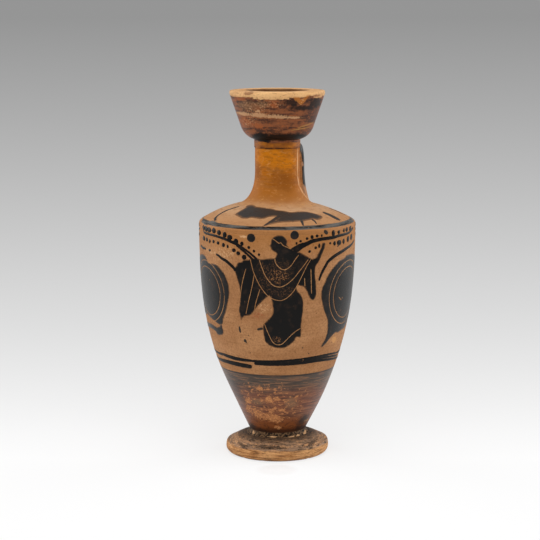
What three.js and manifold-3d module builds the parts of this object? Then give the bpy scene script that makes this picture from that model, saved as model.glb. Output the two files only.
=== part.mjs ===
// A lekythos: a small one-handled oil flask of fired clay.
// Five sections are thrown on the wheel: the foot, the body, the shoulder, the neck and the mouth.
// When they are leather-hard they are luted with slip, each in a seat, rebate or socket of its neighbour.
// A fillet of soft clay is pressed round the foot joint. A pulled strap handle joins neck and shoulder.
// Millimetres, +Z up. The wheel's axis is Z, the foot stands on Z = 0 and the handle is on the +Y side.

import * as THREE from "three";
import { ParametricGeometry } from "three/addons/geometries/ParametricGeometry.js";
import { mergeVertices } from "three/addons/utils/BufferGeometryUtils.js";
import Module from "manifold-3d";

// Luting: the thin bed of slip between two sections
const LUTING_GAP = 0.3;

// Foot: a disc with a rounded edge, a sloping top with a shallow seat, and a hollowed underside
const FOOT_RADIUS = 22.7;
const FOOT_EDGE_HEIGHT = 5.6;
const FOOT_EDGE_BULGE = 1.3;
const FOOT_TOP_RISE = 3.6;
const FOOT_SEAT_RIM = 2.2;
const FOOT_SEAT_DEPTH = 1.2;
const FOOT_REST_WIDTH = 6;
const FOOT_HOLLOW_HEIGHT = 2.6;

// Fillet: the soft clay pressed into the corner between foot and body
const FILLET_WIDTH = 1.6;
const FILLET_HEIGHT = 1.8;
const FILLET_LIP = 0.35;

// Body: an inverted pear, nearly a cone below and nearly a cylinder above
const BASE_RADIUS = 12;
const BASE_FLARE = 0.51; // radius gained for each millimetre of height just above the foot
const BODY_RADIUS = 34.65;
const BODY_HEIGHT = 92;
const BODY_LOWER_PULL = 32;
const BODY_UPPER_PULL = 44;
const BODY_WALL = 3.2;
const BODY_FLOOR = 4;

// Rim of the body: an outer lip that carries the shoulder, round a tongue of the shoulder
const LIP_WIDTH = 1.6;
const TONGUE_HEIGHT = 2;

// Shoulder: a low cone with a turned edge, pierced for the neck
const SHOULDER_SKIRT = 1.4;
const SHOULDER_EDGE_ROUND = 1.5;
const SHOULDER_RISE = 7;
const SHOULDER_CROWN = 0.8; // how far the slope swells above a straight cone
const SHOULDER_WALL = 3.2;
const SHOULDER_SEAT_WALL = 2.4;

// Neck: a tube that flares into a flange on the shoulder, with a spigot below and a tenon above
const NECK_RADIUS = 9.8;
const NECK_WALL = 3.4;
const NECK_HEIGHT = 24.1;
const NECK_FLANGE_RADIUS = 17;
const NECK_FLANGE_EDGE = 1.4;
const NECK_FLARE_HEIGHT = 15;
const NECK_FLARE_RUN = 4; // how far the flare keeps the shoulder's slope, inwards
const NECK_FLARE_RISE = 1.4; // and upwards
const NECK_FLARE_UPWARD_PULL = 9;
const NECK_SPIGOT_WALL = 2.8;
const TENON_WALL = 1.6;
const TENON_HEIGHT = 2;

// Mouth: a deep cup on a short collar, with a thick lip that falls away outwards
const COLLAR_STEP = 0.4; // how far the collar stands out from the neck
const COLLAR_HEIGHT = 3.9;
const CUP_HEIGHT = 21.1;
const CUP_BELLY_RADIUS = 16.5;
const CUP_BELLY_HEIGHT = 6.3;
const CUP_BELLY_TUCK = 1.4; // how far the belly's curve is drawn in below its widest part
const MOUTH_RADIUS = 20.85;
const LIP_FACE_HEIGHT = 1.4;
const LIP_FALL = 0.25; // drop of the lip's top from its crest to its outer edge
const LIP_CREST_RADIUS = 14.2;
const LIP_INNER_BEVEL = 0.4;
const CUP_FLOOR_HEIGHT = 3.4;

// Handle: a strap of oval section that broadens at both roots
const HANDLE_WIDTH = 13;
const HANDLE_THICKNESS = 5.8;
const HANDLE_FINGER_ROOM = 8.7; // between the neck and the strap
const HANDLE_ROOT_DROP = 1.7; // from the mouth joint down to the middle of the upper root
const HANDLE_CROWN = 4; // how far the strap's curve is pulled above the upper root
const HANDLE_OVERTHROW = 6; // and out beyond the upright part
const HANDLE_SHANK_SHARE = 0.6; // share of the height below which the strap runs straight down
const HANDLE_NECK_WIDTH = 17; // where it is luted to the neck
const HANDLE_SHOULDER_WIDTH = 20; // where it is luted to the shoulder
const HANDLE_ROOT_THICKNESS = 7.8;
const HANDLE_ROOT_LENGTH = 17; // length of strap over which a root broadens
const HANDLE_ROOT_BURY = 2;
const HANDLE_SQUARENESS = 0.75; // 1 is an oval section, less is squarer

// Facets
const SEGMENTS = 48;
const CURVE_STEPS = 12;
const SHORT_STEPS = 4;
const STRAP_SIDES = 18;
const STRAP_STEPS = 26;

// Heights of the joints, from the foot up
const FOOT_HEIGHT = FOOT_EDGE_HEIGHT + FOOT_TOP_RISE;
const BASE_Z = FOOT_HEIGHT - FOOT_SEAT_DEPTH;
const SHOULDER_JOINT_Z = FOOT_HEIGHT + BODY_HEIGHT;
const SHOULDER_EDGE_Z = SHOULDER_JOINT_Z + SHOULDER_SKIRT;
const FLANGE_Z = SHOULDER_EDGE_Z + SHOULDER_EDGE_ROUND + SHOULDER_RISE;
const NECK_SEAT_Z = FLANGE_Z - NECK_FLANGE_EDGE;
const MOUTH_JOINT_Z = FLANGE_Z + NECK_HEIGHT;
const LIP_Z = MOUTH_JOINT_Z + COLLAR_HEIGHT + CUP_HEIGHT;

// Radii that two sections share
const NECK_BORE_RADIUS = NECK_RADIUS - NECK_WALL;
const COLLAR_RADIUS = NECK_RADIUS + COLLAR_STEP;

const point = (radius, height) => new THREE.Vector2(radius, height);
const alongLine = (from, to, share) => from.clone().lerp(to, share);

// Points on a curve from one end to the other, both ends included
const onCurve = (curve, steps) => curve.getPoints(steps);

// An open outline moved to one side: a positive distance moves a rising outline outwards from the axis
function shifted(outline, distance) {
  return outline.map((at, i) => {
    const before = outline[Math.max(i - 1, 0)];
    const after = outline[Math.min(i + 1, outline.length - 1)];
    const run = after.clone().sub(before).normalize();
    return point(at.x + run.y * distance, at.y - run.x * distance);
  });
}

// The radius of a rising outline at a height
function radiusAt(outline, height) {
  const upper = outline.findIndex((at) => at.y >= height);
  if (upper <= 0) return outline[upper === 0 ? 0 : outline.length - 1].x;
  const below = outline[upper - 1];
  const above = outline[upper];
  return alongLine(below, above, (height - below.y) / (above.y - below.y)).x;
}

// A geometry spun round the Z axis from an outline of radius and height
function spun(outline) {
  return new THREE.LatheGeometry(outline, SEGMENTS).rotateX(Math.PI / 2);
}

const ring = (outline) => [...outline, outline[0]];

function clay(colour, roughness) {
  return new THREE.MeshStandardMaterial({ color: colour, roughness, metalness: 0 });
}

function piece(name, geometry, material) {
  const mesh = new THREE.Mesh(geometry, material);
  mesh.name = name;
  return mesh;
}

// Outer faces, from the foot to the lip. Each rises, so shifted() and radiusAt() apply to it.
const bodyFace = onCurve(
  new THREE.CubicBezierCurve(
    point(BASE_RADIUS, FOOT_HEIGHT),
    point(BASE_RADIUS + BASE_FLARE * BODY_LOWER_PULL, FOOT_HEIGHT + BODY_LOWER_PULL),
    point(BODY_RADIUS, SHOULDER_JOINT_Z - BODY_UPPER_PULL),
    point(BODY_RADIUS, SHOULDER_JOINT_Z),
  ),
  CURVE_STEPS,
);

const shoulderTurn = point(BODY_RADIUS - SHOULDER_EDGE_ROUND, SHOULDER_EDGE_Z + SHOULDER_EDGE_ROUND);
const shoulderTop = point(NECK_FLANGE_RADIUS + LUTING_GAP, FLANGE_Z);
const shoulderFace = [
  point(BODY_RADIUS, SHOULDER_JOINT_Z),
  ...onCurve(
    new THREE.QuadraticBezierCurve(
      point(BODY_RADIUS, SHOULDER_EDGE_Z),
      point(BODY_RADIUS, SHOULDER_EDGE_Z + SHOULDER_EDGE_ROUND / 2),
      shoulderTurn,
    ),
    SHORT_STEPS,
  ),
  ...onCurve(
    new THREE.QuadraticBezierCurve(
      shoulderTurn,
      alongLine(shoulderTurn, shoulderTop, 0.5).add(point(0, SHOULDER_CROWN)),
      shoulderTop,
    ),
    SHORT_STEPS,
  ).slice(1),
];

const neckFace = [
  ...onCurve(
    new THREE.CubicBezierCurve(
      point(NECK_FLANGE_RADIUS, FLANGE_Z),
      point(NECK_FLANGE_RADIUS - NECK_FLARE_RUN, FLANGE_Z + NECK_FLARE_RISE),
      point(NECK_RADIUS, FLANGE_Z + NECK_FLARE_HEIGHT - NECK_FLARE_UPWARD_PULL),
      point(NECK_RADIUS, FLANGE_Z + NECK_FLARE_HEIGHT),
    ),
    CURVE_STEPS,
  ),
  point(NECK_RADIUS, MOUTH_JOINT_Z),
];

const cupBase = point(COLLAR_RADIUS, MOUTH_JOINT_Z + COLLAR_HEIGHT);
const cupBelly = point(CUP_BELLY_RADIUS, cupBase.y + CUP_BELLY_HEIGHT);
const lipFoot = point(MOUTH_RADIUS, LIP_Z - LIP_FALL - LIP_FACE_HEIGHT);
const mouthFace = [
  point(COLLAR_RADIUS, MOUTH_JOINT_Z),
  ...onCurve(
    new THREE.QuadraticBezierCurve(
      cupBase,
      point(CUP_BELLY_RADIUS - CUP_BELLY_TUCK, cupBase.y + CUP_BELLY_TUCK),
      cupBelly,
    ),
    SHORT_STEPS,
  ),
  lipFoot,
  point(MOUTH_RADIUS, LIP_Z - LIP_FALL),
];

// The outer face that the handle is luted to, from the edge of the shoulder up to the lip
const luteFace = [...shoulderFace, ...neckFace.slice(1), ...mouthFace.slice(0, -1)];

// Foot
function foot() {
  const edge = onCurve(
    new THREE.QuadraticBezierCurve(
      point(FOOT_RADIUS - FOOT_EDGE_BULGE, 0),
      point(FOOT_RADIUS + FOOT_EDGE_BULGE, FOOT_EDGE_HEIGHT / 2),
      point(FOOT_RADIUS - FOOT_EDGE_BULGE, FOOT_EDGE_HEIGHT),
    ),
    SHORT_STEPS * 2,
  );
  const socketRadius = BASE_RADIUS + LUTING_GAP;
  return spun([
    point(0, FOOT_HOLLOW_HEIGHT),
    point(FOOT_RADIUS - FOOT_EDGE_BULGE - FOOT_REST_WIDTH, 0),
    ...edge,
    point(socketRadius + FOOT_SEAT_RIM, FOOT_HEIGHT),
    point(socketRadius, FOOT_HEIGHT),
    point(socketRadius, BASE_Z),
    point(0, BASE_Z),
  ]);
}

// Fillet: its inner face follows the body, a luting gap away, and it stands on the rim of the foot's seat
function footFillet() {
  const inner = [0, 0.5, 1].map((share) => {
    const height = FOOT_HEIGHT + FILLET_HEIGHT * share;
    return point(radiusAt(bodyFace, height) + LUTING_GAP, height);
  });
  const crown = inner[inner.length - 1];
  const toe = point(inner[0].x + FILLET_WIDTH, FOOT_HEIGHT);
  const brow = point(crown.x + FILLET_LIP, crown.y);
  const belly = point(toe.x, alongLine(toe, brow, 0.5).y);
  const outer = onCurve(new THREE.QuadraticBezierCurve(toe, belly, brow), SHORT_STEPS);
  return spun(ring([...outer, ...inner.reverse()]));
}

// Body: the wall follows the outer face, with a flat floor inside and a stepped rim
function body() {
  const rebateZ = SHOULDER_JOINT_Z - TONGUE_HEIGHT;
  const floorZ = BASE_Z + BODY_FLOOR;
  const inside = shifted(bodyFace, -BODY_WALL);
  const wallInside = [
    point(radiusAt(inside, floorZ), floorZ),
    ...inside.filter((at) => at.y > floorZ && at.y < rebateZ),
    point(BODY_RADIUS - BODY_WALL, rebateZ),
  ];
  return spun([
    point(0, BASE_Z),
    point(BASE_RADIUS, BASE_Z),
    ...bodyFace,
    point(BODY_RADIUS - LIP_WIDTH, SHOULDER_JOINT_Z),
    point(BODY_RADIUS - LIP_WIDTH, rebateZ),
    ...wallInside.reverse(),
    point(0, floorZ),
  ]);
}

// Shoulder: it sits on the body's lip, and its tongue goes down inside that lip
function shoulder() {
  const tongueZ = SHOULDER_JOINT_Z - TONGUE_HEIGHT + LUTING_GAP;
  const tongueOuter = BODY_RADIUS - LIP_WIDTH - LUTING_GAP;
  const tongueInner = BODY_RADIUS - BODY_WALL;
  const holeRadius = NECK_BORE_RADIUS + NECK_SPIGOT_WALL + LUTING_GAP;
  const ceilingZ = NECK_SEAT_Z - SHOULDER_SEAT_WALL;
  const slopeInside = shifted(shoulderFace, -SHOULDER_WALL).filter(
    (at) => at.x < tongueInner && at.y < ceilingZ,
  );
  return spun(
    ring([
      ...shoulderFace,
      point(shoulderTop.x, NECK_SEAT_Z),
      point(holeRadius, NECK_SEAT_Z),
      point(holeRadius, ceilingZ),
      point(shoulderTop.x, ceilingZ),
      ...slopeInside.reverse(),
      point(tongueInner, SHOULDER_JOINT_Z),
      point(tongueInner, tongueZ),
      point(tongueOuter, tongueZ),
      point(tongueOuter, SHOULDER_JOINT_Z),
    ]),
  );
}

// Neck: its flange lies in the shoulder's seat, its spigot fills the hole and its tenon enters the mouth
function neck() {
  const spigotRadius = NECK_BORE_RADIUS + NECK_SPIGOT_WALL;
  const spigotZ = NECK_SEAT_Z - SHOULDER_SEAT_WALL;
  const tenonRadius = NECK_BORE_RADIUS + TENON_WALL;
  return spun(
    ring([
      point(spigotRadius, spigotZ),
      point(spigotRadius, NECK_SEAT_Z),
      point(NECK_FLANGE_RADIUS, NECK_SEAT_Z),
      ...neckFace,
      point(tenonRadius, MOUTH_JOINT_Z),
      point(tenonRadius, MOUTH_JOINT_Z + TENON_HEIGHT),
      point(NECK_BORE_RADIUS, MOUTH_JOINT_Z + TENON_HEIGHT),
      point(NECK_BORE_RADIUS, spigotZ),
    ]),
  );
}

// Mouth: a socket under the collar takes the neck's tenon, and the cup narrows to the neck's bore
function mouth() {
  const socketRadius = NECK_BORE_RADIUS + TENON_WALL + LUTING_GAP;
  const socketZ = MOUTH_JOINT_Z + TENON_HEIGHT + LUTING_GAP;
  const cupFloorZ = MOUTH_JOINT_Z + COLLAR_HEIGHT + CUP_FLOOR_HEIGHT;
  const cupInside = onCurve(
    new THREE.QuadraticBezierCurve(
      point(LIP_CREST_RADIUS - LIP_INNER_BEVEL, LIP_Z - LIP_INNER_BEVEL),
      point(LIP_CREST_RADIUS - LIP_INNER_BEVEL, cupFloorZ + CUP_FLOOR_HEIGHT),
      point(NECK_BORE_RADIUS, cupFloorZ),
    ),
    SHORT_STEPS * 2,
  );
  return spun(
    ring([
      ...mouthFace,
      point(LIP_CREST_RADIUS, LIP_Z),
      ...cupInside,
      point(NECK_BORE_RADIUS, socketZ),
      point(socketRadius, socketZ),
      point(socketRadius, MOUTH_JOINT_Z),
    ]),
  );
}

// Solids for cutting one piece by another
const wasm = await Module();
wasm.setup();

function solidFrom(geometry) {
  const bare = geometry.clone();
  bare.deleteAttribute("normal");
  bare.deleteAttribute("uv");
  const merged = mergeVertices(bare, 1e-3);
  return new wasm.Manifold(
    new wasm.Mesh({
      numProp: 3,
      vertProperties: merged.attributes.position.array,
      triVerts: new Uint32Array(merged.index.array),
    }),
  );
}

function geometryFrom(solid) {
  const mesh = solid.getMesh();
  return new THREE.BufferGeometry()
    .setAttribute("position", new THREE.BufferAttribute(mesh.vertProperties, 3))
    .setIndex(new THREE.BufferAttribute(mesh.triVerts, 1));
}

// Height of the luted face at a radius of the shoulder or the neck's flare
function luteHeightAt(radius) {
  const inside = luteFace.findIndex((at) => at.x < radius);
  const outer = luteFace[inside - 1];
  const inner = luteFace[inside];
  return alongLine(outer, inner, (outer.x - radius) / (outer.x - inner.x)).y;
}

// Handle: an oval strap swept from inside the neck's wall to inside the shoulder's, then cut back to their
// outer faces with a luting gap. The sweep closes to a point at both buried ends.
function handle() {
  const reach = NECK_RADIUS + HANDLE_FINGER_ROOM + HANDLE_THICKNESS / 2;
  const rootZ = MOUTH_JOINT_Z - HANDLE_ROOT_DROP;
  const footZ = luteHeightAt(reach);
  const path = new THREE.CubicBezierCurve(
    point(NECK_RADIUS - HANDLE_ROOT_BURY, rootZ),
    point(reach + HANDLE_OVERTHROW, rootZ + HANDLE_CROWN),
    point(reach, footZ + (rootZ - footZ) * HANDLE_SHANK_SHARE),
    point(reach, footZ - HANDLE_ROOT_BURY),
  );
  const squared = (value) => Math.sign(value) * Math.abs(value) ** HANDLE_SQUARENESS;
  const strap = new ParametricGeometry(
    (around, along, target) => {
      const at = path.getPointAt(along);
      const run = path.getTangentAt(along);
      const turn = around * 2 * Math.PI;
      const onNeck = along < 0.5;
      const fromEnd = (onNeck ? along : 1 - along) * path.getLength();
      const rootShare = Math.max(0, 1 - fromEnd / HANDLE_ROOT_LENGTH) ** 2;
      const rootWidth = onNeck ? HANDLE_NECK_WIDTH : HANDLE_SHOULDER_WIDTH;
      const width = THREE.MathUtils.lerp(HANDLE_WIDTH, rootWidth, rootShare);
      const thickness = THREE.MathUtils.lerp(HANDLE_THICKNESS, HANDLE_ROOT_THICKNESS, rootShare);
      const half = fromEnd === 0 ? 0 : 0.5;
      const across = half * width * squared(Math.cos(turn));
      const inward = half * thickness * squared(Math.sin(turn));
      target.set(across, at.x + run.y * inward, at.y - run.x * inward);
    },
    STRAP_SIDES,
    STRAP_STEPS,
  );
  const grown = shifted(luteFace, LUTING_GAP);
  const core = spun([point(0, grown[0].y), ...grown, point(0, grown[grown.length - 1].y)]);
  return geometryFrom(solidFrom(strap).subtract(solidFrom(core)));
}

const bareClay = clay(0xb57f4f, 0.7);
const ochreClay = clay(0xa9702f, 0.5);
const brownSlip = clay(0x53362a, 0.45);
const blackSlip = clay(0x2a2725, 0.35);

const lekythos = new THREE.Group();
lekythos.add(
  piece("foot", foot(), bareClay),
  piece("foot_luting_fillet", footFillet(), brownSlip),
  piece("body", body(), bareClay),
  piece("shoulder", shoulder(), bareClay),
  piece("neck", neck(), ochreClay),
  piece("mouth", mouth(), brownSlip),
  piece("handle", handle(), blackSlip),
);

export default lekythos;
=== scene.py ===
import math

import bmesh
import bpy
import numpy as np
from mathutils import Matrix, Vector, geometry, noise
from mathutils.bvhtree import BVHTree


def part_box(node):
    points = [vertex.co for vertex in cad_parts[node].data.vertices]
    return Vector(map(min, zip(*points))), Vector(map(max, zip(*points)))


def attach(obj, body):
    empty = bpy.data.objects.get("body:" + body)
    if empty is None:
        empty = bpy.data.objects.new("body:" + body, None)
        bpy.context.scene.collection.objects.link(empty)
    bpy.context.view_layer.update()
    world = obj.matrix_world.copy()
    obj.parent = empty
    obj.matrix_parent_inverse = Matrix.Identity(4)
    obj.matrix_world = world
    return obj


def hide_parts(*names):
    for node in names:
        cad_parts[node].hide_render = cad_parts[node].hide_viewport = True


# A lekythos: a small oil flask of fired clay, thrown in five sections, luted together and painted with slip.
# The flask stands on Z = 0 with the wheel's axis on Z and the handle on the +Y side.
# Outlines are written in millimetres, as radius and height, and turned into metres when a mesh is made.
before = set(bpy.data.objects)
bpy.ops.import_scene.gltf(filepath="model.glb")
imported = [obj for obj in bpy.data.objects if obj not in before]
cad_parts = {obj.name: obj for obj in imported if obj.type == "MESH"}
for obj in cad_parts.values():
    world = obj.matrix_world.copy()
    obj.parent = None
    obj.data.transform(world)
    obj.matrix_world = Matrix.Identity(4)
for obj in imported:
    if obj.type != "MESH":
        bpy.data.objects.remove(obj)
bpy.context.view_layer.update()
MM = 0.001

# Camera: it stands a little to the right of the side opposite the handle and looks down on the shoulder.
# Its picture is square. The places of painted and worn spots below are pixels of that picture.
PICTURE = 540
FOCAL = 1801.7  # in pixels
PIXEL = 0.44 * MM  # what a pixel covers on the flask
CAMERA_AZIMUTH = math.radians(14.5)
CAMERA_DISTANCE = 783.1 * MM  # from the axis
CAMERA_HEIGHT = 202.8 * MM
CAMERA_PITCH = math.radians(8.83)
CAMERA_TURN = math.radians(0.232)  # to the left of the axis
SENSOR_WIDTH = 36  # in millimetres

FRONT = Vector((math.sin(CAMERA_AZIMUTH), -math.cos(CAMERA_AZIMUTH), 0))
RIGHT = Vector((math.cos(CAMERA_AZIMUTH), math.sin(CAMERA_AZIMUTH), 0))
UP = Vector((0, 0, 1))


def linked(name, data):
    """A new object in the scene."""
    thing = bpy.data.objects.new(name, data)
    bpy.context.collection.objects.link(thing)
    return thing


camera = linked("camera", bpy.data.cameras.new("camera"))
camera.data.sensor_width = SENSOR_WIDTH
camera.data.lens = FOCAL * SENSOR_WIDTH / PICTURE
camera.location = FRONT * CAMERA_DISTANCE + UP * CAMERA_HEIGHT
camera.rotation_euler = (math.pi / 2 - CAMERA_PITCH, 0, CAMERA_AZIMUTH + CAMERA_TURN)
bpy.context.scene.camera = camera
bpy.context.view_layer.update()


def sight(pixel):
    """The direction in which the camera sees a pixel of its picture."""
    across = (pixel[0] - PICTURE / 2) / FOCAL
    down = (pixel[1] - PICTURE / 2) / FOCAL
    return (camera.matrix_world.to_3x3() @ Vector((across, -down, -1))).normalized()


# Foot: a disc thrown by itself, with a rounded edge, a sloping top and a hollowed underside.
# It is of the same clay as the body. The top was brushed with dark slip, now worn; the edge was left bare.
FOOT_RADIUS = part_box("foot")[1].x / MM
FOOT_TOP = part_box("foot")[1].z / MM
FOOT_EDGE_HEIGHT = 5.6
FOOT_EDGE_BULGE = 1.3
FOOT_EDGE_TUCK = 0.8
FOOT_UNDERCUT = 2.1
FOOT_TOP_PULL = (17.5, 7.9)
FOOT_REST_WIDTH = 6
FOOT_HOLLOW = 2.6
FOOT_SEAT_RADIUS = 12.3
FOOT_SEAT_FLOOR = 8
FOOT_SEAT_RIM = 2.2
FOOT_RIM_DROP = 0.5  # how far the rim stays under the solid's top
FOOT_SEGMENTS = 240  # faces round the axis
ARRIS = 0.5  # how round the wet fingers leave an edge
CORNER_ANGLE = math.radians(25)  # an outline that turns less than this has no edge there
CORNER_SHARE = 0.45  # share of a short side that the rounding takes up at most
CORNER_STEPS = 4
WELD = 1e-6  # points of a new mesh that are nearer than this become one, in metres
CLOSE = 0.6  # spacing of the rings of a wall that shows
WIDE = 2.0  # and of one that doesn't
WHEEL_MARK_DEPTH = 0.03
WHEEL_MARK_PITCH = 2.6
WHEEL_MARK_ROUND = 0.35  # how much the marks change in a turn of the wheel
WOBBLE = 0.16
WOBBLE_ROUND = 1.3
WOBBLE_RATE = 20  # to a metre of height
CALM_RADIUS = 6  # nearer to the axis the marks and the wobble fade out
CHIP_SIZE = 3.2
CHIP_REACH = 1.3
CHIP_FROM = 0.54  # values of the noise at which a chip starts and has its full depth
CHIP_FULL = 0.68
LEAN = 0.45  # the lower wall stands this far towards the right
LEAN_HEIGHT = 25
LEAN_REACH = 14
TILT = 0.012  # the shoulder rises towards the left by this slope
TILT_HEIGHT = 110
TILT_REACH = 5
FOOT_TILT = 0.016  # and the foot's top towards the right by this one
FOOT_TILT_HEIGHT = 5.5
FOOT_TILT_REACH = 3.8
FOOT_LEVEL = 2  # below this height the foot grows level, so that it stands flat


class Nodes:
    """Adds nodes to a tree. An input takes a value, or a link when it is given another node's output."""

    def __init__(self, tree):
        self.tree = tree

    def add(self, kind, *values, **settings):
        node = self.tree.nodes.new(kind)
        for setting, value in settings.items():
            setattr(node, setting, value)
        for socket, value in zip([s for s in node.inputs if s.enabled], values):
            self.feed(socket, value)
        return node

    def feed(self, socket, value):
        if isinstance(value, bpy.types.NodeSocket):
            self.tree.links.new(value, socket)
        elif value is not None:
            socket.default_value = value

    def out(self, kind, *values, **settings):
        node = self.add(kind, *values, **settings)
        return next(socket for socket in node.outputs if socket.enabled)

    def math(self, operation, *values):
        return self.out("ShaderNodeMath", *values, operation=operation)

    def total(self, *values):
        result = values[0]
        for value in values[1:]:
            result = self.math("ADD", result, value)
        return result

    def product(self, *values):
        result = values[0]
        for value in values[1:]:
            result = self.math("MULTIPLY", result, value)
        return result

    def vector(self, operation, *values):
        return self.out("ShaderNodeVectorMath", *values, operation=operation)

    def parts(self, vector):
        return self.add("ShaderNodeSeparateXYZ", vector).outputs

    def joined(self, x, y, z):
        return self.out("ShaderNodeCombineXYZ", x, y, z)

    def noise(self, vector, scale, detail=2.0, roughness=0.5):
        return self.out("ShaderNodeTexNoise", vector, scale, detail, roughness)

    def either(self, one, other):
        return self.math("MAXIMUM", one, other)

    def rest(self, share):
        return self.math("SUBTRACT", 1, share)

    def zone(self, value, outside, inside):
        """0 where the value is outside, 1 where it is inside, with a soft step between."""
        return self.out("ShaderNodeMapRange", value, outside, inside, interpolation_type="SMOOTHSTEP")

    def bell(self, value, middle, reach):
        """1 where the value is in the middle, falling to 0 on both sides."""
        off = self.math("DIVIDE", self.math("SUBTRACT", value, middle), reach)
        return self.math("EXPONENT", self.product(off, off, -1))


def geometry_tree(name, **inputs):
    """A Geometry Nodes tree, with named inputs besides the geometry that it works on."""
    tree = bpy.data.node_groups.new(name, "GeometryNodeTree")
    tree.interface.new_socket("Geometry", in_out="INPUT", socket_type="NodeSocketGeometry")
    for label, kind in inputs.items():
        tree.interface.new_socket(label, in_out="INPUT", socket_type="NodeSocket" + kind)
    tree.interface.new_socket("Geometry", in_out="OUTPUT", socket_type="NodeSocketGeometry")
    return Nodes(tree)


def hand_out(nodes, shape, finish):
    """Ends a tree: real geometry, smooth, in its finish."""
    shape = nodes.out("GeometryNodeSetShadeSmooth", shape)
    shape = nodes.out("GeometryNodeRealizeInstances", shape)
    shape = nodes.out("GeometryNodeSetMaterial", shape, None, finish)
    nodes.add("NodeGroupOutput", shape)


def worked(name, mesh, nodes, **inputs):
    """The piece that a tree makes of a mesh, as a plain mesh that closes and faces outwards."""
    piece = linked(name, mesh)
    modifier = piece.modifiers.new(nodes.tree.name, "NODES")
    modifier.node_group = nodes.tree
    for item in nodes.tree.interface.items_tree:
        if item.in_out == "INPUT" and item.name in inputs:
            modifier[item.identifier] = inputs[item.name]
    made = piece.evaluated_get(bpy.context.evaluated_depsgraph_get())
    piece.data = bpy.data.meshes.new_from_object(made)
    piece.modifiers.clear()
    face_outwards(piece.data)
    return piece


def face_outwards(mesh):
    shell = bmesh.new()
    shell.from_mesh(mesh)
    bmesh.ops.recalc_face_normals(shell, faces=shell.faces)
    shell.to_mesh(mesh)
    shell.free()


def throwing_tree():
    """Spins an outline round the axis and leaves the marks of hands, wheel and use on it."""
    n = geometry_tree(
        "thrown on the wheel",
        segments="Int", mark_depth="Float", mark_pitch="Float", wobble="Float", chip_size="Float",
        lean="Vector", tilt="Vector", foot_tilt="Vector", finish="Material",
    )
    given = n.add("NodeGroupInput").outputs
    outline = given["Geometry"]
    segments = given["segments"]
    rows = n.add("GeometryNodeAttributeDomainSize", outline).outputs["Point Count"]
    last_row = n.math("SUBTRACT", rows, 1)
    grid = n.out("GeometryNodeMeshGrid", last_row, segments, rows, n.math("ADD", segments, 1))

    place = n.out("GeometryNodeInputPosition")
    cell = n.parts(place)
    row = n.math("ROUND", n.total(cell["X"], n.math("DIVIDE", last_row, 2)))
    turn = n.math("DIVIDE", n.total(cell["Y"], n.math("DIVIDE", segments, 2)), segments)
    turn = n.product(turn, -math.tau)
    sideways = n.math("COSINE", turn)
    away = n.math("SINE", turn)
    at = n.parts(n.out("GeometryNodeSampleIndex", outline, place, row, data_type="FLOAT_VECTOR"))
    chip_way = n.out("GeometryNodeInputNamedAttribute", "chip_way", data_type="FLOAT_VECTOR")
    chip = n.parts(n.out("GeometryNodeSampleIndex", outline, chip_way, row, data_type="FLOAT_VECTOR"))

    def ring_noise(reach, height, detail):
        spot = n.joined(n.product(sideways, reach), n.product(away, reach), height)
        return n.product(n.math("SUBTRACT", n.noise(spot, 1.0, detail), 0.5), 2)

    marks = ring_noise(WHEEL_MARK_ROUND, n.math("DIVIDE", at["Z"], given["mark_pitch"]), 2.0)
    slow = ring_noise(WOBBLE_ROUND, n.product(at["Z"], WOBBLE_RATE), 1.0)
    off_axis = n.zone(at["X"], 0, CALM_RADIUS * MM)
    swell = n.total(n.product(marks, given["mark_depth"]), n.product(slow, given["wobble"]))
    spot = n.joined(n.product(sideways, at["X"]), n.product(away, at["X"]), at["Z"])
    chips = n.noise(spot, n.math("DIVIDE", 1, given["chip_size"]), 3.0)
    chipped = n.zone(chips, CHIP_FROM, CHIP_FULL)

    radius = n.total(at["X"], n.product(swell, off_axis), n.product(chip["X"], chipped))
    height = n.total(at["Z"], n.product(chip["Z"], chipped))
    moved = n.joined(n.product(sideways, radius), n.product(away, radius), height)
    leaning = n.bell(height, LEAN_HEIGHT * MM, LEAN_REACH * MM)
    moved = n.vector("ADD", moved, n.vector("SCALE", given["lean"], leaning))
    tilting = n.bell(height, TILT_HEIGHT * MM, TILT_REACH * MM)
    foot_tilting = n.bell(height, FOOT_TILT_HEIGHT * MM, FOOT_TILT_REACH * MM)
    foot_tilting = n.product(foot_tilting, n.zone(height, 0, FOOT_LEVEL * MM))
    rise = n.product(n.vector("DOT_PRODUCT", moved, given["tilt"]), tilting)
    foot_rise = n.product(n.vector("DOT_PRODUCT", moved, given["foot_tilt"]), foot_tilting)
    moved = n.vector("ADD", moved, n.joined(0, 0, n.total(rise, foot_rise)))

    shape = n.out("GeometryNodeSetPosition", grid, None, moved)
    shape = n.out("GeometryNodeMergeByDistance", shape, None, WELD)
    hand_out(n, shape, given["finish"])
    return n


WHEEL = throwing_tree()


def bend(*controls, steps=24):
    """Points on the Bezier curve that these points pull, both ends included."""
    points = []
    for step in range(steps + 1):
        level = [Vector(control) for control in controls]
        while len(level) > 1:
            level = [a.lerp(b, step / steps) for a, b in zip(level, level[1:])]
        points.append(level[0])
    return points


def eased(outline, radius=ARRIS):
    """The outline with its sharp corners rubbed round. Its two ends stay."""
    points = [Vector(point) for point in outline]
    points = [a for a, b in zip(points, points[1:]) if (b - a).length > 1e-4] + points[-1:]
    result = points[:1]
    for before, at, after in zip(points, points[1:], points[2:]):
        into = at - before
        out = after - at
        if into.angle(out) < CORNER_ANGLE:
            result.append(at)
            continue
        reach = min(radius, into.length * CORNER_SHARE, out.length * CORNER_SHARE)
        start = at - into.normalized() * reach
        end = at + out.normalized() * reach
        result += bend(start, at, end, steps=CORNER_STEPS)
    return result + points[-1:]


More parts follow.
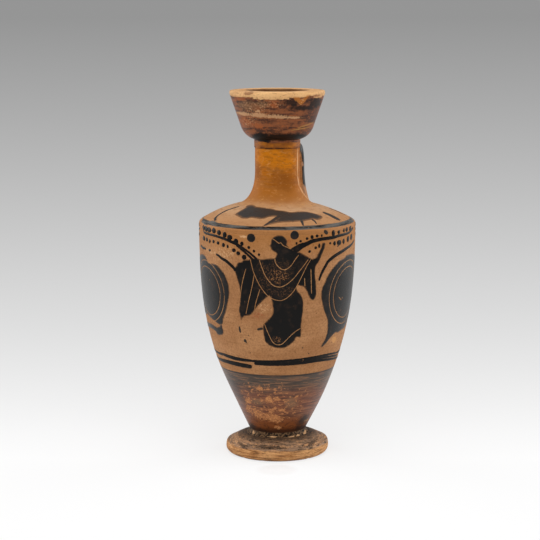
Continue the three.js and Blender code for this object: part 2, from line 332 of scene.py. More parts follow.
def spaced(outline, spacing):
    """The outline with points added, so that none is further than the spacing from the next."""
    result = [Vector(outline[0])]
    for start, end in zip(outline, outline[1:]):
        start, end = Vector(start), Vector(end)
        count = max(1, math.ceil((end - start).length / spacing))
        result += [start.lerp(end, step / count) for step in range(1, count + 1)]
    return result


def marked(mesh, label, vectors):
    """Gives each point of a mesh a vector of its own."""
    mesh.attributes.new(label, "FLOAT_VECTOR", "POINT").data.foreach_set("vector", np.ravel(vectors))


def thrown(name, outline, segments, look, chips=()):
    """A piece spun from its outline. A chip is a place on the outline and how far it can break away there."""
    mesh = bpy.data.meshes.new(name)
    mesh.from_pydata([(r * MM, 0, z * MM) for r, z in outline], [], [])
    chip_ways = []
    for point in outline:
        way = Vector((0, 0))
        for place, depth in chips:
            way += Vector(depth) * max(0, 1 - (point - Vector(place)).length / CHIP_REACH)
        chip_ways.append((way.x * MM, 0, way.y * MM))
    marked(mesh, "chip_way", chip_ways)
    piece = worked(
        name, mesh, WHEEL,
        segments=segments, mark_depth=WHEEL_MARK_DEPTH * MM, mark_pitch=WHEEL_MARK_PITCH * MM,
        wobble=WOBBLE * MM, chip_size=CHIP_SIZE * MM,
        lean=RIGHT * LEAN * MM, tilt=RIGHT * -TILT, foot_tilt=RIGHT * FOOT_TILT,
        finish=look.material,
    )
    look.wall = wall_of(piece)
    return piece


def srgb(red, green, blue):
    """A colour as it is seen, from 0 to 255, as the shader takes it."""
    return tuple((c / 12.92 if c <= 0.04045 else ((c + 0.055) / 1.055) ** 2.4)
                 for c in (red / 255, green / 255, blue / 255)) + (1.0,)


class Finish(Nodes):
    """A material under way: the fired clay first, then the coats of slip over it, then the shader."""

    def __init__(self, name):
        self.material = bpy.data.materials.new(name)
        self.material.use_nodes = True
        super().__init__(self.material.node_tree)
        self.tree.nodes.clear()
        self.place = self.add("ShaderNodeTexCoord").outputs["Object"]
        place = self.parts(self.place)
        self.wall = None  # the one that patches lie on
        self.up = place["Z"]
        self.out_from_axis = self.vector("LENGTH", self.joined(place["X"], place["Y"], 0))

    def grain(self, size, detail=3.0, flat=1.0, seed=0.0, roughness=0.5):
        """Noise with lumps of this size in millimetres, drawn out round the wheel so many times."""
        spot = self.vector("MULTIPLY_ADD", self.place, (1 / flat, 1 / flat, 1), (seed, 0, 0))
        return self.noise(spot, 1 / (size * MM), detail, roughness)

    def speckle(self, size, low, high, detail=5.0, flat=1.0, seed=0.0, roughness=0.7):
        """1 in the specks of a grain: where its noise, that goes from 0 to 1, has passed from low to high."""
        return self.zone(self.grain(size, detail, flat, seed, roughness), low, high)

    def above(self, length, level, soft):
        """1 above a level in millimetres and 0 below it. The step reaches so far to either side of it."""
        return self.zone(length, (level - soft) * MM, (level + soft) * MM)

    def below(self, length, level, soft):
        return self.above(length, level, -soft)

    def carried(self, label):
        """What the mesh carries under this name."""
        return self.add("ShaderNodeAttribute", attribute_name=label).outputs["Fac"]

    def rings(self, size, around, seed=0.0):
        """Noise in rings on a flat top: lumps this wide, with so many of them to a radian."""
        place = self.parts(self.place)
        turned = [self.product(self.math("DIVIDE", place[axis], self.out_from_axis), around) for axis in "XY"]
        ring = self.total(self.math("DIVIDE", self.out_from_axis, size * MM), seed)
        return self.noise(self.joined(ring, *turned), 1.0, 5.0, 0.65)

    def mix(self, share, ground, top):
        return self.out("ShaderNodeMix", share, ground, top, data_type="RGBA")

    def clay(self, pale, deep, seed=0.0):
        """Fired clay: clouds of two shades, throwing lines, a gritty grain and dark specks."""
        clouds = self.zone(self.grain(13, 4.0, seed=seed), 0.36, 0.64)
        self.colour = self.mix(clouds, deep, pale)
        lines = self.zone(self.grain(0.8, 3.0, flat=12, seed=seed), 0.45, 0.75)
        grit = self.zone(self.grain(0.8, 5.0, seed=seed, roughness=0.7), 0.42, 0.68)
        specks = self.zone(self.grain(1.1, 2.0, seed=seed + 3), 0.69, 0.74)
        for cover, strength, shade in ((lines, 0.32, 0.55), (grit, 0.62, 0.55), (specks, 0.6, 0.3)):
            darker = tuple(c * shade for c in deep[:3]) + (1.0,)
            self.colour = self.mix(self.product(cover, strength), self.colour, darker)
        self.roughness = self.total(0.62, self.product(grit, 0.15))
        relief = self.total(self.product(grit, -0.012 * MM), self.product(lines, -0.010 * MM))
        self.relief = self.total(relief, self.product(specks, -0.03 * MM))

    def coat(self, colour, roughness, *covers, thickness=0.02):
        """A coat of slip where all the covers are 1. With a thickness below 0 it lies in a worn hollow."""
        cover = self.product(*covers)
        self.colour = self.mix(cover, self.colour, colour)
        self.roughness = self.out("ShaderNodeMix", cover, self.roughness, roughness, data_type="FLOAT")
        if thickness:
            self.relief = self.total(self.relief, self.product(cover, thickness * MM))

    def tint(self, colour, roughness, *covers):
        """A coat too thin to stand out."""
        self.coat(colour, roughness, *covers, thickness=0)

    def stain(self, places, colour, roughness, *covers, **outline):
        """A tint in patches of the wall."""
        self.tint(colour, roughness, self.patches(places, **outline), *covers)

    def ragged(self, value, amount, size, flat=1.0, seed=0.0):
        """The value with noise of that amount added, so that a step in it has a ragged edge."""
        rough = self.math("SUBTRACT", self.grain(size, 6.0, flat, seed, roughness=0.65), 0.5)
        return self.total(value, self.product(rough, 2 * amount))

    def patches(self, places, ragged=1.2, size=2.2, soft=0.2, depth=9.0):
        """1 in ragged patches of the wall. Each is given by its pixel, half its width and half its height
        in pixels and, where its right end hangs lower, its tilt in degrees."""
        nearest = None
        for x, y, width, height, *tilt in places:
            turn = (0, math.radians(sum(tilt)), CAMERA_AZIMUTH)
            reach = (width * PIXEL, depth * MM, height * PIXEL)
            spot = seen(self.wall, (x, y))
            near = self.out("ShaderNodeMapping", self.place, spot, turn, reach, vector_type="TEXTURE")
            far = self.vector("LENGTH", near)
            nearest = self.math("MINIMUM", nearest, far) if nearest else far
        return self.zone(self.ragged(nearest, ragged, size), 1 + soft, 1 - soft)

    def done(self, sheen=0.3):
        bump = self.add("ShaderNodeBump")
        bump.inputs["Distance"].default_value = 1.0
        self.feed(bump.inputs["Height"], self.relief)
        shader = self.add("ShaderNodeBsdfPrincipled")
        self.feed(shader.inputs["Base Color"], self.colour)
        self.feed(shader.inputs["Roughness"], self.roughness)
        self.feed(shader.inputs["Specular IOR Level"], sheen)
        self.feed(shader.inputs["Normal"], bump.outputs["Normal"])
        self.add("ShaderNodeOutputMaterial", shader.outputs["BSDF"])
        return self.material


def wall_of(*pieces):
    """The faces of these pieces, to look for points on them."""
    corners, faces = [], []
    for piece in pieces:
        first = len(corners)
        corners += [vertex.co for vertex in piece.data.vertices]
        faces += [[first + corner for corner in face.vertices] for face in piece.data.polygons]
    return BVHTree.FromPolygons(corners, faces)


def seen(wall, pixel):
    """The point of a wall that the camera sees at a pixel. Past the edge, the nearest point of the wall."""
    way = sight(pixel)
    spot = wall.ray_cast(camera.location, way)[0]
    if spot is None:
        spot = wall.find_nearest(camera.location + way * CAMERA_DISTANCE / way.dot(-FRONT))[0]
    return spot


def placed(piece, node):
    """The piece rides on the flask and stands for its CAD node, which is hidden."""
    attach(piece, "root")
    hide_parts(node)


PALE_CLAY = srgb(204, 150, 98)
DEEP_CLAY = srgb(178, 122, 72)
BLACK_SLIP = srgb(14, 12, 11)
BROWN_SLIP = srgb(76, 51, 36)
SLIP_HAZE = srgb(138, 112, 91)
FOOT_TAN = srgb(204, 152, 106)
FOOT_CREAM = srgb(226, 172, 116)
FOOT_SLIP_EDGE = 4.8  # height from which the top is brushed
FOOT_CONTACT_SHADOW = 0.5  # height up to which the ring it stands on is painted darker: a painted contact shadow
FOOT_PALE = [(238, 438, 9, 4), (317, 443, 5, 2)]
FOOT_DARK = [(268, 447.4, 17, 1.3), (313, 442.6, 6, 1.3, -18), (242, 445.4, 5, 1.1, 16)]

foot_middle = (FOOT_RADIUS, FOOT_EDGE_HEIGHT / 2)
foot_brow = (FOOT_RADIUS - FOOT_EDGE_BULGE, FOOT_EDGE_HEIGHT)
foot_edge = [
    *bend((FOOT_RADIUS - FOOT_UNDERCUT, 0), (FOOT_RADIUS, FOOT_EDGE_TUCK), foot_middle, steps=10),
    *bend(foot_middle, (FOOT_RADIUS, FOOT_EDGE_HEIGHT), foot_brow, steps=10)[1:],
]
foot_rim = (FOOT_SEAT_RADIUS + FOOT_SEAT_RIM, FOOT_TOP - FOOT_RIM_DROP)
foot_outline = [
    (0, FOOT_HOLLOW),
    (FOOT_RADIUS - FOOT_UNDERCUT - FOOT_REST_WIDTH, 0),
    *foot_edge,
    *bend(foot_edge[-1], FOOT_TOP_PULL, foot_rim, steps=12)[1:],
    (FOOT_SEAT_RADIUS, FOOT_TOP - FOOT_RIM_DROP),
    (FOOT_SEAT_RADIUS, FOOT_SEAT_FLOOR),
    (0, FOOT_SEAT_FLOOR),
]


def foot_finish(look):
    look.clay(PALE_CLAY, DEEP_CLAY)
    for level, colour, strength in ((0.66, BROWN_SLIP, 0.8), (0.36, FOOT_CREAM, 0.7)):
        look.tint(colour, 0.6, look.speckle(0.7, 0.50, level, flat=8, seed=2), strength)
    # The lowest rim is painted darker: a painted contact shadow along the floor.
    look.tint(BROWN_SLIP, 0.6, look.below(look.up, FOOT_CONTACT_SHADOW, 0.4), 0.6)
    top = look.above(look.ragged(look.up, 0.8 * MM, 1.8, flat=3), FOOT_SLIP_EDGE, 0.3)
    look.coat(SLIP_HAZE, 0.5, top, 0.85)
    for size, around, seed, strength, colour in (
        (1.8, 3.0, 0, 0.65, BROWN_SLIP), (0.6, 5.0, 20, 0.8, BLACK_SLIP), (0.7, 6.0, 40, 0.9, FOOT_TAN),
    ):
        ring = look.zone(look.ragged(look.rings(size, around, seed), 0.1, 0.7), 0.52, 0.61)
        look.tint(colour, 0.5, top, ring, strength)
    pale = look.speckle(0.8, 0.44, 0.54, seed=70)
    look.stain(FOOT_PALE, FOOT_TAN, 0.6, top, pale, 0.7, soft=0.5)
    near_body = look.zone(look.ragged(look.out_from_axis, 3.0 * MM, 1.2), 19.5 * MM, 15.0 * MM)
    look.coat(BLACK_SLIP, 0.5, top, near_body, 0.7)
    look.coat(BLACK_SLIP, 0.5, look.patches(FOOT_DARK, 2.2, 0.8, soft=0.3), 0.65)
    look.done(sheen=0.12)


foot_look = Finish("foot, worn slip on clay")
foot = thrown(
    "turned_foot", spaced(eased(foot_outline), CLOSE), FOOT_SEGMENTS, foot_look,
    chips=[(foot_edge[0], (-0.12, 0.12)), (foot_edge[-1], (-0.35, -0.3))],
)
foot_finish(foot_look)
placed(foot, "foot")

# Fillet: soft clay pressed with a finger into the corner between foot and body, after the two were luted.
# It is lumpy, was brushed with the same slip as the foot, and shows bare clay where lumps have broken off.
FILLET_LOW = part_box("foot_luting_fillet")[0].z / MM
FILLET_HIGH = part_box("foot_luting_fillet")[1].z / MM
FILLET_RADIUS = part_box("foot_luting_fillet")[1].x / MM
FILLET_INNER = 11.9
FILLET_CROWN = 12.35
FILLET_HOLLOW = (12.6, 9.5)
FILLET_LUMP = 0.4
FILLET_BED = 0.6  # how far it reaches down on to the foot
FILLET_ARRIS = 0.2
FILLET_STEP = 0.3
FILLET_CREAM = srgb(214, 164, 114)
FILLET_TAN = srgb(206, 160, 114)
SLIP_OLIVE_DARK = srgb(98, 74, 52)
FILLET_PALE = [
    (253.6, 432.4, 1.2, 1.4), (273, 436.8, 4, 0.6), (292, 437, 3, 1.1), (298, 436, 1.8, 1.2),
    (305, 432.6, 1.4, 1.6),
]

fillet_edge = (FILLET_RADIUS, FILLET_LOW - FILLET_BED)
fillet_outline = [
    (FILLET_INNER, FILLET_LOW - FILLET_BED),
    *bend(fillet_edge, FILLET_HOLLOW, (FILLET_CROWN, FILLET_HIGH), steps=8),
    (FILLET_INNER, FILLET_LOW - FILLET_BED),
]


def fillet_finish(look):
    look.clay(FILLET_CREAM, PALE_CLAY)
    kept = look.zone(look.ragged(look.grain(2.0, 5.0, seed=4, roughness=0.6), 0.16, 0.6), 0.27, 0.35)
    look.coat(SLIP_OLIVE_DARK, 0.55, kept, 0.9)
    look.coat(BLACK_SLIP, 0.6, kept, look.speckle(0.9, 0.44, 0.56, seed=9))
    look.stain(FILLET_PALE, FILLET_TAN, 0.65, 0.9, ragged=1.4, size=0.8)
    look.done(sheen=0.08)


fillet_look = Finish("pressed clay, dark slip")
fillet = thrown(
    "pressed_fillet", spaced(eased(fillet_outline, FILLET_ARRIS), FILLET_STEP), FOOT_SEGMENTS, fillet_look,
    chips=[(fillet_edge, (FILLET_LUMP, FILLET_LUMP / 2))],
)
fillet_finish(fillet_look)
placed(fillet, "foot_luting_fillet")

# Body: an inverted pear thrown in one go, closed below and open above, with a wall about 3 mm thick.
# Its ground is bare clay. The lowest part is covered with slip that fired black to red-brown and has worn.
BODY_SLIM = 0.4  # how much smaller its radius is than the solid's
BODY_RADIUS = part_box("body")[1].x / MM - BODY_SLIM
BODY_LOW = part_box("body")[0].z / MM
BODY_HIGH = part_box("body")[1].z / MM
BASE_RADIUS = 11.65
BASE_FLARE = 0.51  # radius gained for each millimetre of height
BODY_LOWER_PULL = 32
BODY_UPPER_PULL = 44
BODY_WALL = 3.2
BODY_FLOOR = 4
RIM_LIP = 1.6
RIM_STEP = 2
BODY_SEGMENTS = 264
SLIP_TOP = 39.3  # height of the dark zone's upper edge

body_face = bend(
    (BASE_RADIUS, FOOT_TOP),
    (BASE_RADIUS + BASE_FLARE * BODY_LOWER_PULL, FOOT_TOP + BODY_LOWER_PULL),
    (BODY_RADIUS, BODY_HIGH - BODY_UPPER_PULL),
    (BODY_RADIUS, BODY_HIGH),
    steps=60,
)


def with_left(line):
    """Each point of a line, with the direction that points to the left of the line there."""
    for before, at, after in zip(line[:1] + line, line, line[1:] + line[-1:]):
        run = (after - before).xy.normalized()
        yield at, Vector((-run.y, run.x))


def inset(face, distance):
    """A rising face moved towards the axis."""
    return [at + left * distance for at, left in with_left(face)]


body_inside = [
    point for point in inset(body_face, BODY_WALL)
    if BODY_LOW + BODY_FLOOR < point.y < BODY_HIGH - RIM_STEP
]
body_outline = [
    (0, BODY_LOW),
    (BASE_RADIUS, BODY_LOW),
    *spaced(body_face, CLOSE),
    (BODY_RADIUS - RIM_LIP, BODY_HIGH),
    (BODY_RADIUS - RIM_LIP, BODY_HIGH - RIM_STEP),
    (BODY_RADIUS - BODY_WALL, BODY_HIGH - RIM_STEP),
    *reversed(body_inside),
    (body_inside[0].x, BODY_LOW + BODY_FLOOR),
    (0, BODY_LOW + BODY_FLOOR),
]
body_look = Finish("body, bare clay over dark slip")
body = thrown("thrown_body", spaced(body_outline, WIDE), BODY_SEGMENTS, body_look)

# Worn and stained places: pixel across and down, half the width, half the height and, on some, a tilt
BARE_PATCHES = [
    (259.5, 388.7, 4, 1.8), (248, 400.5, 2.8, 3.5), (248.5, 408.5, 2.4, 4), (258, 413.5, 8, 4, 25),
    (273, 418, 9, 4, 15), (269.5, 399, 3.2, 3.6), (277, 398.6, 3.2, 1.8), (282, 410.4, 4, 1.6),
    (270.5, 411.6, 3, 2.2), (297, 396.7, 1.8, 1.2), (278, 427.5, 3, 2),
]
BLACK_PATCHES = [(303, 420, 7, 4, -50), (300, 428.6, 12, 4), (253, 427.6, 6, 4.5, 25), (262, 430.6, 10, 2.4)]
# DARK_SIDE only darkens the dark zone towards the flask's left side.
DARK_SIDE = [(233, 386, 8, 11), (239.5, 397, 4.5, 8, -30)]
OLIVE_PATCHES = [(291, 403, 6, 6), (257, 401.5, 6, 3.5)]
FLECKED = [(270, 405, 34, 22), (262, 392, 22, 10)]
PALE_SPOTS = [(334, 339, 2.2, 3.4), (306, 420, 2, 2)]
SCUFFED = [(211, 251.5, 5, 2), (226, 253, 8, 6), (262, 308, 7, 4)]
SCRAPED = [(241.3, 231.4, 1.1, 3.6), (244.2, 236.6, 3.4, 1.2), (243.6, 232.6, 2.4, 0.8, -30)]
RED_SMEARS = [(290, 243, 3.5, 3.0), (258, 316, 6, 3)]
BUFF_PALE = srgb(184, 133, 89)
BUFF_DEEP = srgb(168, 117, 75)
BUFF_GOLD = srgb(165, 107, 50)
GOLD_SHARE = 0.6
SLIP_GREY = srgb(74, 63, 52)
SLIP_RED = srgb(120, 66, 40)
SLIP_EMBER = srgb(126, 66, 22)
SLIP_OLIVE = srgb(124, 96, 68)
WORN_CLAY = srgb(174, 114, 68)
WORN_BRIGHT = srgb(214, 148, 90)
FLECK_TAN = srgb(188, 124, 74)
SPOT_TAN = srgb(206, 150, 90)
SMEAR_RED = srgb(150, 66, 40)
SCUFF_CREAM = srgb(220, 174, 128)
GOLD_FROM = 94  # heights at which the clay grows golden and the slip red, then orange, then black
RED_UNDER = 31.75
EMBER_UNDER = 18
BLACK_UNDER = 12.8


def body_finish(look):
    look.clay(BUFF_PALE, BUFF_DEEP)
    look.tint(BUFF_GOLD, 0.62, look.above(look.ragged(look.up, 4 * MM, 6), GOLD_FROM, 6), GOLD_SHARE)
    height = look.ragged(look.up, 0.18 * MM, 9, flat=3)
    zone = look.below(height, SLIP_TOP, 0.15)
    look.coat(SLIP_GREY, 0.38, zone)
    streaks = look.grain(1.3, 5.0, flat=7, seed=5, roughness=0.6)
    reddening = look.below(look.ragged(look.up, 4 * MM, 4.5, flat=2.5, seed=1), RED_UNDER, 3.75)
    red = look.either(reddening, look.product(look.zone(streaks, 0.52, 0.7), 0.3))
    look.tint(SLIP_RED, 0.4, zone, red)
    darker = look.zone(look.ragged(streaks, 0.15, 2.2, seed=8), 0.60, 0.40)
    look.tint(BROWN_SLIP, 0.4, zone, darker, 0.45)
    for level, colour, strength in ((0.63, BLACK_SLIP, 0.55), (0.38, WORN_CLAY, 0.40)):
        fine = look.speckle(0.55, 0.51, level, flat=14, seed=29, roughness=0.65)
        look.tint(colour, 0.4, zone, fine, strength)
    ember = look.below(look.ragged(look.up, 2 * MM, 3), EMBER_UNDER, 3)
    look.tint(SLIP_EMBER, 0.42, zone, ember, 0.8)
    # Towards the bottom the slip grows darker, in black specks and, lowest down, in a ring.
    base_specks = look.speckle(0.9, 0.50, 0.62, flat=1.5, seed=61)
    look.tint(BLACK_SLIP, 0.45, zone, ember, base_specks, 0.6)
    look.stain(OLIVE_PATCHES, SLIP_OLIVE, 0.5, zone, 0.55, size=1.6, soft=0.6)
    flecks = look.speckle(1.2, 0.54, 0.58, detail=6.0, flat=1.6, seed=17, roughness=0.75)
    look.coat(FLECK_TAN, 0.6, zone, flecks, look.patches(FLECKED), 0.9, thickness=-0.01)
    bare = look.patches(BARE_PATCHES, 2.2, 0.9, soft=0.12)
    crumbs = look.speckle(0.7, 0.40, 0.47, flat=1.5, seed=41)
    look.coat(WORN_CLAY, 0.62, zone, bare, crumbs, 0.95, thickness=-0.02)
    bright = look.speckle(0.6, 0.52, 0.60, detail=4.0, seed=51)
    look.tint(WORN_BRIGHT, 0.62, zone, bare, bright, 0.9)
    look.stain(PALE_SPOTS, SPOT_TAN, 0.6, 0.7)
    red_specks = look.speckle(0.7, 0.48, 0.58, seed=71)
    look.stain(RED_SMEARS, SMEAR_RED, 0.6, red_specks, 0.65, soft=0.5)
    scuffs = look.speckle(1.0, 0.48, 0.60, seed=23)
    look.stain(SCUFFED, SCUFF_CREAM, 0.65, scuffs, 0.55, soft=0.5)
    look.stain(SCRAPED, SCUFF_CREAM, 0.65, 0.75, ragged=1.6, size=0.9, soft=0.5)
    look.stain(DARK_SIDE, BLACK_SLIP, 0.38, zone, 0.6, ragged=0.8, soft=0.8)
    black = look.patches(BLACK_PATCHES, size=2.0, soft=0.6)
    ring = look.below(look.ragged(look.up, 1.4 * MM, 2), BLACK_UNDER, 1.2)
    look.tint(BLACK_SLIP, 0.42, look.either(black, look.product(ring, 0.85)), 0.85)
    edge_line = look.above(height, SLIP_TOP - 0.75, 0.25)
    look.coat(BLACK_SLIP, 0.4, zone, edge_line, 0.75)
    look.done(sheen=look.total(0.12, look.product(zone, 0.2)))


body_finish(body_look)
placed(body, "body")

# Shoulder: a low cone that closes the body, sits on the body's lip and is pierced for the neck.
# It is bare clay like the body. A line of black slip runs round its edge.
SHOULDER_DROP = 0.7  # how much lower it ends at the neck than the solid
SHOULDER_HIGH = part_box("shoulder")[1].z / MM - SHOULDER_DROP
TONGUE_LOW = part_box("shoulder")[0].z / MM
SKIRT = 1.2
SHOULDER_ROUND = 2.0
SHOULDER_CROWN = Vector((0, 1.2))
SHOULDER_WALL = 3.2
SHOULDER_STEP = 0.45
TONGUE_GAP = 0.3
FLANGE_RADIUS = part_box("neck")[1].x / MM
FLANGE_EDGE = 1.4
SEAT_GAP = 0.3
SEAT_RADIUS = FLANGE_RADIUS + SEAT_GAP
SEAT_WALL = 2.4
HOLE_RADIUS = 9.5

shoulder_edge = BODY_HIGH + SKIRT
shoulder_turn = Vector((BODY_RADIUS - SHOULDER_ROUND, shoulder_edge + SHOULDER_ROUND))
shoulder_top = Vector((SEAT_RADIUS, SHOULDER_HIGH))
shoulder_face = [
    Vector((BODY_RADIUS, BODY_HIGH)),
    *bend(
        (BODY_RADIUS, shoulder_edge),
        (BODY_RADIUS, shoulder_edge + SHOULDER_ROUND / 2),
        shoulder_turn,
        steps=8,
    ),
    *bend(shoulder_turn, shoulder_turn.lerp(shoulder_top, 0.5) + SHOULDER_CROWN, shoulder_top)[1:],
]
ceiling = SHOULDER_HIGH - FLANGE_EDGE - SEAT_WALL
shoulder_inside = [
    point for point in inset(shoulder_face, SHOULDER_WALL)
    if point.x < BODY_RADIUS - BODY_WALL and point.y < ceiling
]
shoulder_outline = [
    (BODY_RADIUS - RIM_LIP - TONGUE_GAP, BODY_HIGH),
    *spaced(shoulder_face, SHOULDER_STEP),
    (SEAT_RADIUS, SHOULDER_HIGH - FLANGE_EDGE),
    (HOLE_RADIUS, SHOULDER_HIGH - FLANGE_EDGE),
    (HOLE_RADIUS, ceiling),
    (SEAT_RADIUS, ceiling),
    *reversed(shoulder_inside),
    (BODY_RADIUS - BODY_WALL, BODY_HIGH),
    (BODY_RADIUS - BODY_WALL, TONGUE_LOW),
    (BODY_RADIUS - RIM_LIP - TONGUE_GAP, TONGUE_LOW),
    (BODY_RADIUS - RIM_LIP - TONGUE_GAP, BODY_HIGH),
]
shoulder_look = Finish("shoulder, bare clay and edge line")
shoulder = thrown("thrown_shoulder", spaced(shoulder_outline, WIDE), BODY_SEGMENTS, shoulder_look)

EDGE_LINE_LOW = 103.3  # heights of the black line
EDGE_LINE_HIGH = 104.55
EDGE_LINE_GAP = [(199.8, 221, 3.2, 6)]
EDGE_SMEARS = [(206, 223, 3.4, 1.7), (214, 223.2, 10, 1.6, 12)]
# Grey of the painted sheen on the edge line
SHEEN_GREY_SLIP = srgb(122, 118, 112)
SHOULDER_PALE = srgb(206, 166, 126)
SHOULDER_STREAK = srgb(140, 92, 56)
OCHRE_BROWN = srgb(164, 102, 44)
PALE_REACH = 2.8  # how far up and down the clay is pale round the neck's seat


def top_clay(look):
    """The clay of shoulder and neck: palest where the two meet, with the neck's wash fading out on it."""
    look.clay(BUFF_PALE, BUFF_DEEP)
    look.tint(BUFF_GOLD, 0.62, GOLD_SHARE)
    joint = look.bell(look.ragged(look.up, 1.6 * MM, 3, flat=2), SHOULDER_HIGH * MM, PALE_REACH * MM)
    slope = look.zone(look.ragged(look.up, 0.25 * MM, 7, flat=2), EDGE_LINE_LOW * MM, EDGE_LINE_HIGH * MM)
    look.tint(SHOULDER_PALE, 0.62, slope, look.total(look.product(joint, 0.5), 0.25))
    streaks = look.speckle(0.7, 0.50, 0.66, flat=5, seed=21)
    look.tint(SHOULDER_STREAK, 0.62, slope, streaks, 0.45)
    wash = look.above(look.ragged(look.up, 2 * MM, 4), SHOULDER_HIGH + 1.5, 3.5)
    look.coat(OCHRE_BROWN, 0.45, wash, thickness=0.01)


def shoulder_finish(look):
    top_clay(look)
    height = look.ragged(look.up, 0.25 * MM, 7, flat=2)
    line = look.product(look.above(height, EDGE_LINE_LOW, 0.15), look.below(height, EDGE_LINE_HIGH, 0.15))
    kept = look.zone(look.ragged(look.grain(4, 4.0, flat=3, seed=6), 0.1, 0.8), 0.28, 0.34)
    smear = look.patches(EDGE_SMEARS, 0.6, soft=0.3, depth=4.0)
    gap = look.patches(EDGE_LINE_GAP, 0.6, soft=0.3)
    line = look.product(look.either(line, smear), kept, look.rest(gap))
    look.coat(BLACK_SLIP, 0.25, line)
    # Grey streaks on the edge line are a painted sheen: the glint of the top lamp on its rounded edge.
    rubbed = look.speckle(1.2, 0.34, 0.68, flat=8, seed=9, roughness=0.6)
    look.tint(SHEEN_GREY_SLIP, 0.35, line, rubbed, 0.62)
    look.done(sheen=0.2)


shoulder_finish(shoulder_look)
placed(shoulder, "shoulder")

# Neck: a tube that flares into a flange on the shoulder. A spigot fills the hole, a tenon enters the mouth.
# It is brushed all over with a thin golden-brown wash, which is glossy and shows the brush's rings.
NECK_RADIUS = 9.7
NECK_BORE = 6.4
NECK_FLARE = 15
NECK_FLARE_RUN = 4
NECK_FLARE_RISE = 1.1
NECK_FLARE_PULL = 9
NECK_SEGMENTS = 200
NECK_ARRIS = 0.3
SPIGOT_RADIUS = 9.2
TENON_RADIUS = 8
TENON_HEIGHT = 2
NECK_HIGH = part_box("neck")[1].z / MM - TENON_HEIGHT
SPIGOT_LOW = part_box("neck")[0].z / MM

neck_face = [
    *bend(
        (SEAT_RADIUS, SHOULDER_HIGH),
        (FLANGE_RADIUS - NECK_FLARE_RUN, SHOULDER_HIGH + NECK_FLARE_RISE),
        (NECK_RADIUS, SHOULDER_HIGH + NECK_FLARE - NECK_FLARE_PULL),
        (NECK_RADIUS, SHOULDER_HIGH + NECK_FLARE),
        steps=36,
    ),
    Vector((NECK_RADIUS, NECK_HIGH)),
]
neck_outline = [
    (NECK_BORE, SPIGOT_LOW),
    (SPIGOT_RADIUS, SPIGOT_LOW),
    (SPIGOT_RADIUS, SHOULDER_HIGH - FLANGE_EDGE),
    (SEAT_RADIUS, SHOULDER_HIGH - FLANGE_EDGE),
    *eased([*spaced(neck_face, CLOSE), (TENON_RADIUS, NECK_HIGH)], NECK_ARRIS),
    (TENON_RADIUS, NECK_HIGH + TENON_HEIGHT),
    (NECK_BORE, NECK_HIGH + TENON_HEIGHT),
    (NECK_BORE, SPIGOT_LOW),
]
neck_look = Finish("neck, golden wash")
neck = thrown("thrown_neck", spaced(neck_outline, WIDE), NECK_SEGMENTS, neck_look)

OCHRE = srgb(182, 106, 26)
OCHRE_GOLD = srgb(206, 122, 16)
OCHRE_DARK = srgb(138, 78, 24)
OCHRE_FROM = 118  # height at which the wash grows strong
JOINT_ABOVE = 0.4  # the dark joint's middle, over the neck's upper edge
JOINT_REACH = 0.32
NECK_TAN = srgb(206, 148, 84)
# Pale line down the neck's right edge by the handle: a painted highlight on pale clay
EDGE_HIGHLIGHT_CREAM = srgb(222, 176, 130)
NECK_GOLD = [(271, 157, 18, 9), (286, 163, 8, 7)]
NECK_BROWN = [(285, 181, 13, 9), (258, 172, 3, 8)]
NECK_EDGE_HIGHLIGHT = [
    (297.6, 163, 0.6, 14), (298.4, 181, 0.6, 6, -10), (301.4, 190, 0.6, 5, -28), (305.4, 196, 0.6, 5, -42),
]


def fill_joint(look):
    """Leaves dark slip in the joint between neck and mouth, broken here and there."""
    near = look.bell(look.ragged(look.up, 0.5 * MM, 3), (NECK_HIGH + JOINT_ABOVE) * MM, JOINT_REACH * MM)
    left = look.speckle(3.0, 0.40, 0.54, seed=11, roughness=0.6)
    look.coat(BLACK_SLIP, 0.5, near, left, 0.9, thickness=-0.05)


def neck_finish(look):
    top_clay(look)
    rings = look.speckle(1.2, 0.30, 0.65, detail=4.0, flat=6, seed=3, roughness=0.6)
    warm = look.above(look.ragged(look.up, 5 * MM, 8, seed=2), OCHRE_FROM, 6)
    look.coat(OCHRE, 0.45, warm, rings, thickness=0.01)
    for places, colour, strength in ((NECK_GOLD, OCHRE_GOLD, 0.8), (NECK_BROWN, OCHRE_DARK, 0.7)):
        look.stain(places, colour, 0.45, strength, ragged=1.0, size=3.0, soft=0.6)
    look.tint(OCHRE_DARK, 0.55, warm, look.speckle(0.9, 0.46, 0.64, flat=2.5, seed=13), 0.6)
    look.tint(NECK_TAN, 0.55, look.speckle(1.0, 0.54, 0.68, flat=2.5, seed=19), 0.5)
    # The pale line by the handle is a painted highlight.
    look.stain(NECK_EDGE_HIGHLIGHT, EDGE_HIGHLIGHT_CREAM, 0.6, 0.7, ragged=0.3, soft=0.5, depth=1.2)
    fill_joint(look)
    look.done(sheen=0.04)


neck_finish(neck_look)
placed(neck, "neck")

# Mouth: a deep cup on a short collar, with a thick flat lip. A socket in the collar takes the neck's tenon.
# Outside it has a coat of dark slip, fired brown and streaky, between the bare lip and the golden collar.
LIP_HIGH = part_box("mouth")[1].z / MM
LIP_SLIM = 0.2  # how much smaller its radius is than the solid's
LIP_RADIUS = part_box("mouth")[1].x / MM - LIP_SLIM
LIP_FALL = 0.25
LIP_FACE = 1.4
LIP_CREST_RADIUS = 14.2
LIP_BEVEL = 0.4
COLLAR_RADIUS = 10.0
COLLAR_HEIGHT = 3.7
CUP_BELLY_RADIUS = 16.0
CUP_BELLY_HEIGHT = 6.3
CUP_BELLY_TUCK = 1.4
CUP_FLOOR = 3.4
SOCKET_RADIUS = 8.3
SOCKET_HEIGHT = 2.3
MOUTH_SEGMENTS = 220

